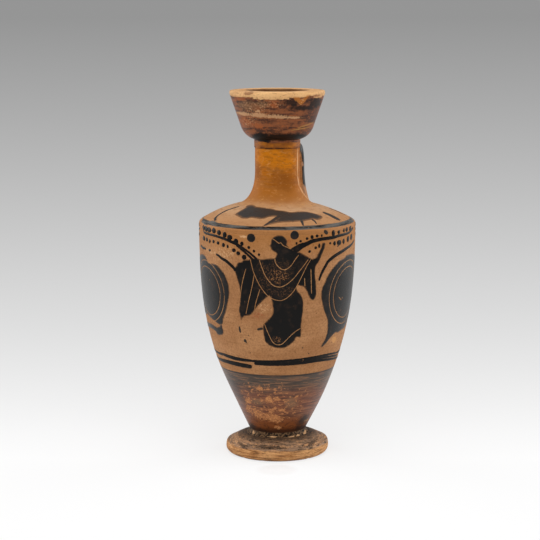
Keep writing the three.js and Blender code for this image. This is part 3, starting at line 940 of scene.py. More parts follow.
collar_high = NECK_HIGH + COLLAR_HEIGHT
cup_face = bend(
    (COLLAR_RADIUS, collar_high),
    (CUP_BELLY_RADIUS - CUP_BELLY_TUCK, collar_high + CUP_BELLY_TUCK),
    (CUP_BELLY_RADIUS, collar_high + CUP_BELLY_HEIGHT),
)
cup_inside = bend(
    (LIP_CREST_RADIUS - LIP_BEVEL, LIP_HIGH - LIP_BEVEL),
    (LIP_CREST_RADIUS - LIP_BEVEL, collar_high + 2 * CUP_FLOOR),
    (NECK_BORE, collar_high + CUP_FLOOR),
)
lip_edge = Vector((LIP_RADIUS, LIP_HIGH - LIP_FALL))
mouth_outline = [
    (SOCKET_RADIUS, NECK_HIGH),
    (COLLAR_RADIUS, NECK_HIGH),
    *cup_face,
    (LIP_RADIUS, LIP_HIGH - LIP_FALL - LIP_FACE),
    lip_edge,
    (LIP_CREST_RADIUS, LIP_HIGH),
    *cup_inside,
    (NECK_BORE, NECK_HIGH + SOCKET_HEIGHT),
    (SOCKET_RADIUS, NECK_HIGH + SOCKET_HEIGHT),
    (SOCKET_RADIUS, NECK_HIGH),
]
mouth_look = Finish("mouth, streaky brown slip")
mouth = thrown(
    "thrown_mouth", spaced(eased(mouth_outline), CLOSE), MOUTH_SEGMENTS, mouth_look,
    chips=[(lip_edge, (-0.45, -0.3))],
)

SLIP_BROWN = srgb(134, 80, 49)
SLIP_DARK = srgb(72, 45, 33)
SLIP_ORANGE = srgb(158, 86, 44)
CREAM = srgb(196, 150, 108)
THREAD = srgb(170, 124, 66)
LIP_CLAY = srgb(226, 178, 124)
LIP_CLAY_DEEP = srgb(206, 152, 100)
# Paler lip: a painted highlight where its front and top face the lamps, with some edge wear
LIP_HIGHLIGHT_PALE = srgb(252, 202, 140)
LIP_OCHRE = srgb(176, 106, 42)
LIP_HIGHLIGHTS = [(268, 95.4, 28, 4), (305, 94.6, 15, 3), (277, 88.4, 36, 1.2)]
LIP_STAIN = srgb(140, 92, 60)
# Dark slip inside the cup, darkened further as painted shade of the deep hollow
INSIDE_SLIP_AND_SHADE = srgb(84, 52, 30)
MOUTH_SLIP_EDGE = 157.8  # heights between which the outside is brushed
COLLAR_SLIP_EDGE = 138.0
MOUTH_BLACK = [(292, 102.5, 9, 4), (315, 103, 9, 5.5), (303, 108, 16, 2.6)]
MOUTH_BASE_BLACK = [(261, 137.4, 9, 5.5), (284, 137.6, 23, 4)]
MOUTH_SHADED = [(313, 112, 9, 9), (252, 100.5, 8, 2), (302, 133, 10, 4)]
MOUTH_OCHRE = [(297.6, 99.6, 5, 2.0, 30), (304.4, 99.4, 5, 1.8, -35), (301, 101.6, 2.6, 2.4)]
MOUTH_OLIVE = [(247, 106, 9, 4.5), (262, 104.5, 6, 3)]
MOUTH_ORANGE = [(258, 126, 5, 2.6), (274, 104.5, 5, 2.2), (244, 122, 6, 4), (240, 99, 6, 1.6)]
MOUTH_CREAM = [
    (244, 113.8, 8, 1.7, 2), (259, 115.3, 11, 2.0, 4), (278, 116.8, 14, 1.6, 3), (293, 117.6, 8, 1.0, 2),
    (258, 111.4, 2.6, 1.2),
]
MOUTH_THREADS = [(306, 125.3, 8, 0.6, -14), (301, 128.8, 10, 0.5, -6)]
STAINED_LIP = [(248, 93.6, 4.4, 1.5), (251, 93, 3, 1.4), (316, 95.8, 4, 1.0)]
LIP_RUNS = [(272, 98.2, 17, 1.6), (318, 96.6, 4, 1.2)]
SLIP_RISES = [(243, 98.4, 6, 1.2), (313, 98, 8, 2.2)]
MOUTH_SPECKLED = [(255, 110, 12, 3), (247, 122, 10, 6), (262, 104, 18, 4)]
COLLAR_BLACK = [(261, 138, 8, 4), (267, 140.6, 4.4, 2), (300, 136.6, 7, 2)]


def mouth_finish(look):
    look.clay(LIP_CLAY, LIP_CLAY_DEEP, seed=8)
    height = look.ragged(look.ragged(look.up, 0.7 * MM, 5, flat=2), 0.4 * MM, 1.0)
    below_lip = look.below(height, MOUTH_SLIP_EDGE, 0.2)
    within = look.below(look.out_from_axis, LIP_CREST_RADIUS - 0.4, 0.4)
    within = look.product(within, look.above(look.up, collar_high + 2.7, 0.5))
    rises = look.patches(SLIP_RISES, 1.4, 1.2, soft=0.3)
    runs = look.patches(LIP_RUNS, size=1.4)
    slip = look.product(look.either(look.either(below_lip, rises), within), look.rest(runs))
    # A painted highlight on the lip's front and top, with some edge wear.
    look.stain(LIP_HIGHLIGHTS, LIP_HIGHLIGHT_PALE, 0.62, 0.5, ragged=0.9, size=1.4, soft=0.8)
    worn = look.speckle(0.6, 0.54, 0.66, flat=3, seed=27)
    look.tint(LIP_STAIN, 0.6, worn, 0.6)
    look.stain(STAINED_LIP, LIP_STAIN, 0.55, 0.75, ragged=1.8, size=1.2, soft=0.4)
    look.coat(SLIP_BROWN, 0.42, slip)
    streaks = look.grain(1.6, 5.0, flat=6, seed=4, roughness=0.65)
    look.tint(SLIP_DARK, 0.42, slip, look.zone(look.ragged(streaks, 0.14, 1.6), 0.47, 0.59))
    look.stain(MOUTH_SHADED, SLIP_DARK, 0.42, slip, 0.75, ragged=1.0, size=2.0, soft=0.7)
    mottle = look.speckle(0.9, 0.52, 0.62, detail=6.0, flat=1.8, seed=6, roughness=0.75)
    look.tint(SLIP_ORANGE, 0.5, slip, mottle, 0.7)
    look.stain(MOUTH_ORANGE, SLIP_ORANGE, 0.5, slip, 0.75, ragged=2.0, size=1.6, soft=0.4)
    olive = look.patches(MOUTH_OLIVE, 1.4, 1.6, soft=0.6)
    look.tint(SLIP_OLIVE, 0.55, slip, olive, 0.55)
    speckled = look.either(olive, look.patches(MOUTH_SPECKLED, size=2.0, soft=0.6))
    for colour, seed in ((BLACK_SLIP, 15), (CREAM, 14)):
        speckle = look.speckle(0.65, 0.55, 0.63, detail=4.0, seed=seed, roughness=0.65)
        look.tint(colour, 0.6, slip, speckled, speckle, 0.85)
    look.stain(MOUTH_BLACK, BLACK_SLIP, 0.4, slip, 0.88, ragged=1.4, size=2.0, soft=0.5)
    look.stain(MOUTH_BASE_BLACK, BLACK_SLIP, 0.5, slip, 0.95, ragged=0.5, size=2.0, soft=0.3, depth=16)
    cream = look.patches(MOUTH_CREAM, 1.8, 0.8, soft=0.3, depth=14)
    look.coat(CREAM, 0.65, slip, cream, 0.85, thickness=-0.02)
    look.stain(MOUTH_THREADS, THREAD, 0.6, slip, 0.8, ragged=0.9, size=1.2, soft=0.5, depth=14)
    ochre = look.patches(MOUTH_OCHRE, 1.6, 1.6, soft=0.3)
    look.tint(LIP_OCHRE, 0.5, ochre, 0.85)
    look.tint(LIP_CLAY, 0.55, ochre, worn, 0.8)
    # Inside the cup the dark slip also paints the shade of the hollow.
    look.tint(INSIDE_SLIP_AND_SHADE, 0.5, within)
    collar = look.below(look.ragged(look.up, 0.5 * MM, 2.5), COLLAR_SLIP_EDGE, 0.4)
    look.tint(OCHRE_DARK, 0.45, collar)
    look.tint(OCHRE_GOLD, 0.45, collar, look.speckle(2.0, 0.42, 0.62, flat=3, roughness=0.65), 0.5)
    look.stain(COLLAR_BLACK, BLACK_SLIP, 0.5, 0.95, ragged=1.4, size=1.2, soft=0.3)
    fill_joint(look)
    look.done(sheen=0.12)


mouth_finish(mouth_look)
placed(mouth, "mouth")

# Handle: a strap pulled from a lump of clay, bent over and luted to the neck and to the shoulder.
# It is painted black on the back and sides, down to just above the lower root. The rest is washed clay.
HANDLE_WIDTH = 13
HANDLE_THICKNESS = 5.8
HANDLE_NECK_WIDTH = 17
HANDLE_SHOULDER_WIDTH = 20
HANDLE_ROOT_THICKNESS = 7.8
HANDLE_ROOT_LENGTH = 17
HANDLE_SQUARENESS = 0.75
HANDLE_BURY = 2
HANDLE_ROOT_DROP = 1.7
HANDLE_CROWN = 4
HANDLE_OVERTHROW = 6
HANDLE_SHANK = 0.6
HANDLE_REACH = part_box("handle")[1].y / MM - HANDLE_THICKNESS / 2
HANDLE_UNEVENNESS = 0.15
HANDLE_LUMPS = (260, 110, 110)  # to a metre, across and along
HANDLE_CHIPS = [(302.2, 164.4, 1.2, 2.2), (303.8, 190, 2.0, 5)]
HANDLE_TAN = srgb(176, 132, 96)
HANDLE_BACK = (-0.52, -0.40)  # where the paint starts round the strap: 1 is its back, 0 its sides
HANDLE_PAINT_END = (0.79, 0.76)  # and where it ends along the strap, from 0 to 1
HANDLE_TIP = 1e-4  # the share of the length at each end that is drawn together to close it
HANDLE_ROWS = 90
HANDLE_SIDES = 64


def strap_tree():
    """Sweeps a squarish oval along a path that lies in the YZ plane, broader towards both of its roots."""
    n = geometry_tree(
        "pulled strap",
        rows="Int", sides="Int", width="Float", thickness="Float", first_width="Float", last_width="Float",
        root_thickness="Float", root_length="Float", squareness="Float", unevenness="Float",
        finish="Material",
    )
    given = n.add("NodeGroupInput").outputs
    path = n.out("GeometryNodeMeshToCurve", given["Geometry"])
    length = n.out("GeometryNodeCurveLength", path)
    last_row = n.math("SUBTRACT", given["rows"], 1)
    seam = n.math("ADD", given["sides"], 1)
    grid = n.out("GeometryNodeMeshGrid", last_row, given["sides"], given["rows"], seam)
    cell = n.parts(n.out("GeometryNodeInputPosition"))
    along = n.math("DIVIDE", n.total(cell["X"], n.math("DIVIDE", last_row, 2)), last_row)
    turn = n.math("DIVIDE", n.total(cell["Y"], n.math("DIVIDE", given["sides"], 2)), given["sides"])
    turn = n.product(turn, math.tau)

    def squarish(value):
        grown = n.math("POWER", n.math("ABSOLUTE", value), given["squareness"])
        return n.product(n.math("SIGN", value), grown)

    def broadened(middle, root):
        from_end = n.product(n.math("MINIMUM", along, n.rest(along)), length)
        share = n.either(0, n.rest(n.math("DIVIDE", from_end, given["root_length"])))
        return n.out("ShaderNodeMix", n.product(share, share), middle, root, data_type="FLOAT")

    on_path = n.add("GeometryNodeSampleCurve", path, None, along, data_type="FLOAT", mode="FACTOR")
    run = n.parts(on_path.outputs["Tangent"])
    inward = n.joined(0, run["Z"], n.product(run["Y"], -1))
    in_first_half = n.math("LESS_THAN", along, 0.5)
    ends = (given["last_width"], given["first_width"])
    root_width = n.out("ShaderNodeMix", in_first_half, *ends, data_type="FLOAT")
    past_first = n.math("GREATER_THAN", along, HANDLE_TIP)
    before_last = n.math("LESS_THAN", along, 1 - HANDLE_TIP)
    inside_ends = n.product(past_first, before_last, 0.5)
    half_width = n.product(broadened(given["width"], root_width), inside_ends)
    half_depth = n.product(broadened(given["thickness"], given["root_thickness"]), inside_ends)
    across = n.product(half_width, squarish(n.math("COSINE", turn)))
    depth = n.product(half_depth, squarish(n.math("SINE", turn)))
    centre = on_path.outputs["Position"]
    moved = n.vector("ADD", centre, n.joined(across, 0, 0))
    moved = n.vector("ADD", moved, n.vector("SCALE", inward, depth))
    lumps = n.math("SUBTRACT", n.noise(n.vector("MULTIPLY", moved, HANDLE_LUMPS), 1.0), 0.5)
    lumps = n.product(lumps, 2, given["unevenness"])
    outwards = n.vector("NORMALIZE", n.vector("SUBTRACT", moved, centre))
    moved = n.vector("ADD", moved, n.vector("SCALE", outwards, n.product(lumps, inside_ends, 2)))
    outer = n.product(n.math("SINE", turn), -1)
    shape = grid
    for label, value in (("outer_face", outer), ("along_strap", along)):
        shape = n.out("GeometryNodeStoreNamedAttribute", shape, None, label, value, data_type="FLOAT")
    shape = n.out("GeometryNodeSetPosition", shape, None, moved)
    shape = n.out("GeometryNodeMergeByDistance", shape, None, WELD)
    hand_out(n, shape, given["finish"])
    return n


def handle_finish(look):
    look.clay(PALE_CLAY, DEEP_CLAY, seed=12)
    wash = look.speckle(3, 0.35, 0.6, detail=3.0, seed=2, roughness=0.5)
    look.coat(OCHRE_BROWN, 0.4, wash, 0.7, thickness=0.01)
    back = look.zone(look.ragged(look.carried("outer_face"), 0.12, 2.5), *HANDLE_BACK)
    upper = look.zone(look.ragged(look.carried("along_strap"), 0.02, 2.5), *HANDLE_PAINT_END)
    kept = look.zone(look.ragged(look.grain(4, 4.0, seed=5), 0.12, 0.8), 0.30, 0.36)
    look.coat(BLACK_SLIP, 0.36, back, upper, kept)
    look.stain(HANDLE_CHIPS, HANDLE_TAN, 0.6, size=1.4, soft=0.3)
    look.done(sheen=0.2)


handle_foot = next(
    a.lerp(b, (a.x - HANDLE_REACH) / (a.x - b.x)).y
    for a, b in zip(shoulder_face, shoulder_face[1:]) if a.x >= HANDLE_REACH > b.x
)
handle_root = NECK_HIGH - HANDLE_ROOT_DROP
handle_path = bend(
    (NECK_RADIUS - HANDLE_BURY, handle_root),
    (HANDLE_REACH + HANDLE_OVERTHROW, handle_root + HANDLE_CROWN),
    (HANDLE_REACH, handle_foot + (handle_root - handle_foot) * HANDLE_SHANK),
    (HANDLE_REACH, handle_foot - HANDLE_BURY),
    steps=80,
)
path_mesh = bpy.data.meshes.new("handle path")
path_mesh.from_pydata(
    [(0, out * MM, up * MM) for out, up in handle_path],
    [(step, step + 1) for step in range(len(handle_path) - 1)], [],
)
handle_look = Finish("handle, clay with a painted back")
handle = worked(
    "strap_handle", path_mesh, strap_tree(),
    rows=HANDLE_ROWS, sides=HANDLE_SIDES, width=HANDLE_WIDTH * MM, thickness=HANDLE_THICKNESS * MM,
    first_width=HANDLE_NECK_WIDTH * MM, last_width=HANDLE_SHOULDER_WIDTH * MM,
    root_thickness=HANDLE_ROOT_THICKNESS * MM, root_length=HANDLE_ROOT_LENGTH * MM,
    squareness=HANDLE_SQUARENESS, unevenness=HANDLE_UNEVENNESS * MM, finish=handle_look.material,
)
handle_look.wall = wall_of(handle)
handle_finish(handle_look)
placed(handle, "handle")

# Painting on the body: black slip, brushed on and then scratched through to the pale clay with a point.
# It was done before firing. Two ground lines run round under the picture, drawn while the flask turned.
SLIP_THICKNESS = 0.07
BEAD_THICKNESS = 0.09
DAB_THICKNESS = 0.13
SLIP_EDGE = 0.025
SLIP_UNEVENNESS = 0.4
SLIP_ROOT = 0.15  # how deep a painted shape reaches into the wall under it
SLIP_FOLD = math.radians(50)  # a shape's top and its side don't shade into one another
BRUSH_STEP = 0.35
BRUSH_SHAKE = 0.10
SHAKE_RATE = 1.3  # to a millimetre
SHAKE_SEED = 1  # with a seed the brush strays in the same way in each run
STREAK_RATE = 0.9
SCRATCH_POINT = 0.35  # share of its width that a scratch has at its ends
SCRATCH_SHAKE = 0.5
LATTICE = 0.9  # spacing of the points inside a painted shape
LATTICE_JOG = 0.31
LATTICE_SWAY = 5  # how fast the jog changes from row to row
SAME_PLACE = 1e-5  # points of a painted shape that are nearer than this are one
BEAD_SIDES = 12
BEAD_FULL = 0.2  # a bead narrower than this, from its middle to its side, is lower too
DAB_SIDES = 20
DAB_RINGS = 4
DAB_UNEVENNESS = 0.4
DAB_LUMPS = 900.0  # to a metre
BRUSH_SPREAD = 1.12  # a stroke is laid so much broader than its dark middle, because its sides are thin

noise.seed_set(SHAKE_SEED)


class SideWall:
    """A wall unrolled flat: millimetres to the right of the line that faces the camera, and up."""

    def __init__(self, wall):
        self.wall = wall

    def flat(self, pixel):
        spot = seen(self.wall, pixel)
        return Vector((math.atan2(spot.dot(RIGHT), spot.dot(FRONT)) * BODY_RADIUS, spot.z / MM))

    def spot(self, place):
        """The point of the wall at a place on the flat sheet, and the wall's normal there."""
        turn = place[0] / BODY_RADIUS
        way = FRONT * math.cos(turn) + RIGHT * math.sin(turn)
        return self.met(way * 2 * BODY_RADIUS * MM + UP * place[1] * MM, -way)

    def met(self, start, way):
        """Where a line meets the wall. One that slips through between two faces takes the nearest point."""
        spot, normal = self.wall.ray_cast(start, way)[:2]
        return (spot, normal) if spot else self.wall.find_nearest(start)[:2]

    def drawn(self, line):
        """A line of pixels, with the brush's width third, as a line on the flat sheet in millimetres."""
        return [Vector((*self.flat((x, y)), width * BRUSH_SPREAD * PIXEL / MM)) for x, y, width in line]


def flowing(points, spacing, closed=False):
    """Points along the smooth line that passes through these."""
    points = [Vector(point) for point in points]
    count = len(points)
    line = []
    for index in range(count if closed else count - 1):
        start = points[index]
        end = points[(index + 1) % count]
        before = points[index - 1] if closed or index > 0 else start
        after = points[(index + 2) % count] if closed or index + 2 < count else end
        third = (end - start).length / 3
        leaving = start + (end - before).normalized() * third
        arriving = end - (after - start).normalized() * third
        line += bend(start, leaving, arriving, end, steps=max(1, round(3 * third / spacing)))[:-1]
    return line if closed else line + points[-1:]


def shaken(point, seed):
    """How far the brush strays at a point."""
    at = Vector((point[0] * SHAKE_RATE, point[1] * SHAKE_RATE, seed))
    return noise.noise_vector(at) * BRUSH_SHAKE


def inside(points, outline):
    """Which of the points lie inside a closed outline."""
    x, y = np.array(points)[:, 0:1], np.array(points)[:, 1:2]
    ax, ay = np.array(outline)[:, 0], np.array(outline)[:, 1]
    bx, by = np.roll(ax, -1), np.roll(ay, -1)
    crossed = (ay > y) != (by > y)
    rise = np.where(by == ay, 1, by - ay)
    return (crossed & (x < (bx - ax) * (y - ay) / rise + ax)).sum(1) % 2 == 1


def ribbon(line, width):
    """The outline of a scratch along a line, pointed at its ends."""
    there, back = [], []
    ends = (0, len(line) - 1)
    for index, (at, left) in enumerate(with_left(line)):
        share = SCRATCH_POINT if index in ends else 1 + SCRATCH_SHAKE * noise.noise((at.x, at.y, 5))
        half = width / 2 * share
        there.append(at + left * half)
        back.append(at - left * half)
    return there + back[::-1]


def filled(name, sheet, outline, finish, scratches=(), softness=0.6, spacing=LATTICE):
    """A painted shape as a thin closed shell on a wall, open along the scratches, where the clay shows."""
    edge = [point + shaken(point, 1).xy for point in flowing(outline, BRUSH_STEP, closed=True)]
    loops = [edge, *scratches]
    corners, sides = [], []
    for loop in loops:
        first = len(corners)
        corners += loop
        sides += [(first + index, first + (index + 1) % len(loop)) for index in range(len(loop))]
    low, high = np.min(edge, axis=0), np.max(edge, axis=0)
    across, up = np.meshgrid(np.arange(low[0], high[0], spacing), np.arange(low[1], high[1], spacing))
    jog = LATTICE_JOG * spacing * np.cos(up * LATTICE_SWAY)
    lattice = np.stack([(across + jog).ravel(), up.ravel()], 1)
    corners += [Vector(point) for point in lattice[inside(lattice, edge)]]
    corners = [Vector(corner[:2]) for corner in corners]
    flat, _, triangles, *_ = geometry.delaunay_2d_cdt(corners, sides, [], 0, SAME_PLACE)
    middles = [(flat[a] + flat[b] + flat[c]) / 3 for a, b, c in triangles]
    kept = inside(middles, edge)
    for scratch in scratches:
        kept &= ~inside(middles, scratch)
    triangles = [triangle for triangle, keep in zip(triangles, kept) if keep]

    borders = {}
    for a, b, c in triangles:
        for side in ((a, b), (b, c), (c, a)):
            borders[frozenset(side)] = None if frozenset(side) in borders else side
    borders = [side for side in borders.values() if side]
    on_border = {corner for side in borders for corner in side}
    used = sorted({corner for triangle in triangles for corner in triangle})
    number = {corner: index for index, corner in enumerate(used)}
    tops, roots = [], []
    for corner in used:
        spot, normal = sheet.spot(flat[corner])
        streak = noise.noise((flat[corner].x * STREAK_RATE, flat[corner].y * STREAK_RATE, 2))
        height = SLIP_EDGE if corner in on_border else SLIP_THICKNESS * (1 + SLIP_UNEVENNESS * streak)
        tops.append(spot + normal * height * MM)
        roots.append(spot - normal * SLIP_ROOT * MM)
    count = len(used)
    faces = [[number[corner] for corner in triangle] for triangle in triangles]
    faces += [[number[corner] + count for corner in reversed(triangle)] for triangle in triangles]
    faces += [[number[b], number[a], number[a] + count, number[b] + count] for a, b in borders]
    mesh = bpy.data.meshes.new(name)
    mesh.from_pydata(tops + roots, [], faces)
    gaps = np.array([flat[corner] for corner in used])[:, None] - np.array(edge)[None]
    from_edge = np.minimum(1, np.sqrt((gaps ** 2).sum(2)).min(1) / softness)
    mesh.attributes.new("from_edge", "FLOAT", "POINT").data.foreach_set("value", np.tile(from_edge, 2))
    mesh.materials.append(finish)
    mesh.shade_smooth()
    face_outwards(mesh)
    mesh.set_sharp_from_angle(angle=SLIP_FOLD)
    return painted(linked(name, mesh))


def painted(piece):
    """The piece rides on the flask."""
    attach(piece, "root")
    return piece


def brush_tree():
    """Lays a low bead of slip along lines on a wall. Each point of a line knows the wall's normal there,
    and the reach from the bead's middle to its side."""
    n = geometry_tree("brush stroke", sides="Int", thickness="Float", root="Float", finish="Material")
    given = n.add("NodeGroupInput").outputs

    def own(label, kind="FLOAT_VECTOR"):
        return n.out("GeometryNodeInputNamedAttribute", label, data_type=kind)

    def kept(shape, label, value, kind):
        return n.out("GeometryNodeStoreNamedAttribute", shape, None, label, value, data_type=kind)

    line = n.out("GeometryNodeMeshToCurve", given["Geometry"])
    line = kept(line, "centre", n.out("GeometryNodeInputPosition"), "FLOAT_VECTOR")
    ring = n.out("GeometryNodeCurvePrimitiveCircle", given["sides"])
    share = n.add("GeometryNodeSplineParameter").outputs["Factor"]
    ring = kept(ring, "turn", n.product(share, math.tau), "FLOAT")
    bead = n.out("GeometryNodeCurveToMesh", line, ring)
    turn = own("turn", "FLOAT")
    across = n.vector("SCALE", own("reach"), n.math("COSINE", turn))
    lift = n.math("SINE", turn)
    rounded = n.product(n.math("SIGN", lift), n.math("SQRT", n.math("ABSOLUTE", lift)))
    over = n.math("GREATER_THAN", lift, 0)
    depth = n.out("ShaderNodeMix", over, given["root"], given["thickness"], data_type="FLOAT")
    fullness = n.zone(n.vector("LENGTH", own("reach")), 0, BEAD_FULL * MM)
    height = n.vector("SCALE", own("wall_normal"), n.product(rounded, depth, fullness))
    place = n.vector("ADD", own("centre"), n.vector("ADD", across, height))
    bead = n.out("GeometryNodeSetPosition", bead, None, place)
    bead = n.out("GeometryNodeMergeByDistance", bead, None, WELD)
    for label in ("centre", "turn", "reach", "wall_normal"):
        bead = n.out("GeometryNodeRemoveAttribute", bead, None, label)
    hand_out(n, bead, given["finish"])
    return n


BRUSH = brush_tree()


def strokes(name, sheet, lines, finish, thickness=BEAD_THICKNESS):
    """Brush strokes on a wall. Each line has places on the flat sheet and the brush's width there."""
    spots, normals, reaches, links = [], [], [], []
    for line in lines:
        line = [at + shaken(at, 4) for at in flowing(line, BRUSH_STEP)]
        length = 0
        travelled = [0] + [length := length + (b - a).length for a, b in zip(line, line[1:])]
        for index, (at, left) in enumerate(with_left(line)):
            from_end = min(travelled[index], length - travelled[index])
            rounding = min(1, from_end / (at.z / 2))
            half = at.z / 2 * math.sqrt(rounding * (2 - rounding))
            one, one_normal = sheet.spot(at.xy + left * half)
            other, other_normal = sheet.spot(at.xy - left * half)
            if index > 0:
                links.append((len(spots) - 1, len(spots)))
            spots.append((one + other) / 2)
            reaches.append((one - other) / 2)
            normals.append((one_normal + other_normal).normalized())
    mesh = bpy.data.meshes.new(name)
    mesh.from_pydata(spots, links, [])
    marked(mesh, "wall_normal", normals)
    marked(mesh, "reach", reaches)
    piece = worked(
        name, mesh, BRUSH, sides=BEAD_SIDES, thickness=thickness * MM, root=SLIP_ROOT * MM, finish=finish,
    )
    return painted(piece)


def dab_tree():
    """Sets a flat blob of slip on each point of a wall, upright on it, and makes its edge uneven."""
    n = geometry_tree("dabs of slip", unevenness="Float", finish="Material")
    given = n.add("NodeGroupInput").outputs
    normal = n.out("GeometryNodeInputNamedAttribute", "wall_normal", data_type="FLOAT_VECTOR")
    size = n.out("GeometryNodeInputNamedAttribute", "size", data_type="FLOAT_VECTOR")
    facing = n.out("FunctionNodeAlignRotationToVector", None, 1.0, normal, axis="Z")
    upright = n.out("FunctionNodeAlignRotationToVector", facing, 1.0, (0, 0, 1), axis="Y", pivot_axis="Z")
    blob = n.out("GeometryNodeMeshUVSphere", DAB_SIDES, DAB_RINGS, 1.0)
    dabs = n.out("GeometryNodeInstanceOnPoints", given["Geometry"], None, blob, None, None, upright, size)
    dabs = n.out("GeometryNodeRealizeInstances", dabs)
    place = n.out("GeometryNodeInputPosition")
    stray = n.add("ShaderNodeTexNoise", place, DAB_LUMPS, 2.0).outputs["Color"]
    stray = n.vector("SCALE", n.vector("SUBTRACT", stray, (0.5, 0.5, 0.5)), given["unevenness"])
    outwards = n.vector("PROJECT", stray, n.vector("MULTIPLY", place, (1, 1, 0)))
    along_wall = n.vector("SUBTRACT", stray, outwards)
    dabs = n.out("GeometryNodeSetPosition", dabs, None, None, along_wall)
    hand_out(n, dabs, given["finish"])
    return n


DAB = dab_tree()


def dabs(name, sheet, places, finish):
    """Dabs of slip. Each has its place on the flat sheet, half its width and half its height."""
    spots, normals, sizes = [], [], []
    for across, up, half_width, half_height in places:
        left, right = [sheet.spot((across + way * half_width, up))[0] for way in (-1, 1)]
        low, high = [sheet.spot((across, up + way * half_height))[0] for way in (-1, 1)]
        spots.append((left + right + low + high) / 4)
        normals.append((right - left).cross(high - low).normalized())
        sizes.append((half_width * MM, half_height * MM, DAB_THICKNESS * MM))
    mesh = bpy.data.meshes.new(name)
    mesh.from_pydata(spots, [], [])
    marked(mesh, "wall_normal", normals)
    marked(mesh, "size", sizes)
    return painted(worked(name, mesh, DAB, unevenness=DAB_UNEVENNESS * MM, finish=finish))


SLIP_THIN = srgb(56, 39, 28)
SLIP_FRINGE = srgb(104, 70, 42)
INCISED_CLAY = srgb(196, 144, 92)
INCISED_DEEP = srgb(170, 118, 70)


def slip_finish(name, black=BLACK_SLIP, worn=0.22, roughness=0.34, soft=False):
    """Fired slip: black, brown where it is thin, gone in specks. A soft edge is thin too."""
    look = Finish(name)
    look.clay(BUFF_PALE, BUFF_DEEP)
    kept = look.zone(look.ragged(look.grain(2.6, 5.0, seed=21), 0.10, 0.5, seed=3), worn, worn + 0.06)
    if soft:
        look.tint(SLIP_FRINGE, 0.5, kept, 0.6)
        kept = look.product(kept, look.zone(look.ragged(look.carried("from_edge"), 0.5, 1.0), -0.1, 0.8))
    look.coat(black, roughness, kept)
    thin = look.speckle(3.0, 0.50, 0.72, seed=15, roughness=0.5)
    look.coat(SLIP_THIN, roughness + 0.1, kept, thin, 0.45, thickness=-0.01)
    return look


def scratch_finish():
    look = Finish("incised line, fresh clay")
    look.clay(INCISED_CLAY, INCISED_DEEP)
    return look.done(sheen=0.2)


side = SideWall(wall_of(body, shoulder))
black_slip = slip_finish("black slip, soft edge", soft=True).done(sheen=0.2)
brush_slip = slip_finish("black slip, brushed").done(sheen=0.1)
dry_slip = slip_finish("black slip, dry brush", worn=0.25, roughness=0.42).done(sheen=0.1)
incised = scratch_finish()

# Ground lines as pixels across and down, with the brush's width
UPPER_GROUND = [
    (222.9, 354.6, 1.9), (236, 359.2, 2.2), (253, 361.0, 2.2), (275, 361.4, 2.2), (294.9, 360.4, 2.8),
    (311.5, 358, 2.8), (328.1, 354.4, 2.2), (337, 352.4, 1.8),
]
MIDDLE_GROUND = [(301, 360.8, 1.4), (312, 359.6, 2.2), (322, 357.6, 2.4), (337, 354.8, 1.8)]
FAINT_GROUND = [
    (215.6, 351.2, 1.1), (223, 353.6, 1.4), (231.8, 356.4, 1.5), (243, 359, 1.5), (252, 360.2, 1.2),
]
LEFT_GROUND = [(219.6, 358.9, 3.0), (228.6, 362, 3.8), (241, 364.9, 4.3), (252.2, 366.9, 3.8)]
RIGHT_GROUND = [
    (254, 363.4, 2.8), (278.3, 364.2, 3.4), (303.2, 362.6, 3.2), (319.8, 360.4, 2.6), (337, 357.2, 2.0),
]
GROUND_WIDTH = 1.2
GROUND_STEPS = 8


def round_the_back(start, end):
    """The rest of a turn, from where a line ends at the right to where one starts at the left."""
    end = Vector((end.x + math.tau * BODY_RADIUS, end.y, GROUND_WIDTH))
    start = Vector((start.x, start.y, GROUND_WIDTH))
    return [start.lerp(end, step / GROUND_STEPS) for step in range(GROUND_STEPS + 1)]


upper_ground = side.drawn(UPPER_GROUND)
left_ground = side.drawn(LEFT_GROUND)
right_ground = side.drawn(RIGHT_GROUND)
strokes(
    "ground_lines", side,
    [
        upper_ground, side.drawn(FAINT_GROUND), side.drawn(MIDDLE_GROUND), left_ground, right_ground,
        round_the_back(upper_ground[-1], upper_ground[0]), round_the_back(right_ground[-1], left_ground[0]),
    ],
    dry_slip,
)

# Eyes: a pair of large black discs, each with two scratched rings and a tear duct towards the figure.
# The camera sees their inner halves, given as pixels. The outer halves are a guess, on the flat sheet.
LEFT_EYE_SEEN = [
    (208.6, 262.6), (211.8, 263.3), (216.6, 264.7), (220.9, 269), (224.7, 274.3), (227.1, 280),
    (229, 286.2), (229.5, 292), (229, 297.2), (227.6, 304.3), (226.1, 311.5), (223.7, 318.7),
    (222.4, 324.4), (219.6, 324.8), (216, 322), (211.4, 318.4), (207.4, 313.8),
]
LEFT_EYE_GUESSED = [
    (-49, 62), (-55, 64), (-60, 69), (-66.5, 74), (-61.5, 78), (-57.5, 82.5), (-52, 87), (-46, 89.4),
    (-39.5, 89.6),
]
LEFT_TEAR = [
    (207.2, 321.6), (210, 322.8), (213.2, 324.6), (216.4, 326.8), (219.4, 326.4), (221.6, 323.6),
    (222.4, 327.6), (223.6, 331), (223.2, 334.2), (221, 335.2), (217.6, 334.6), (216, 331.6),
    (213.2, 329.4), (210, 327.4), (207.8, 325),
]
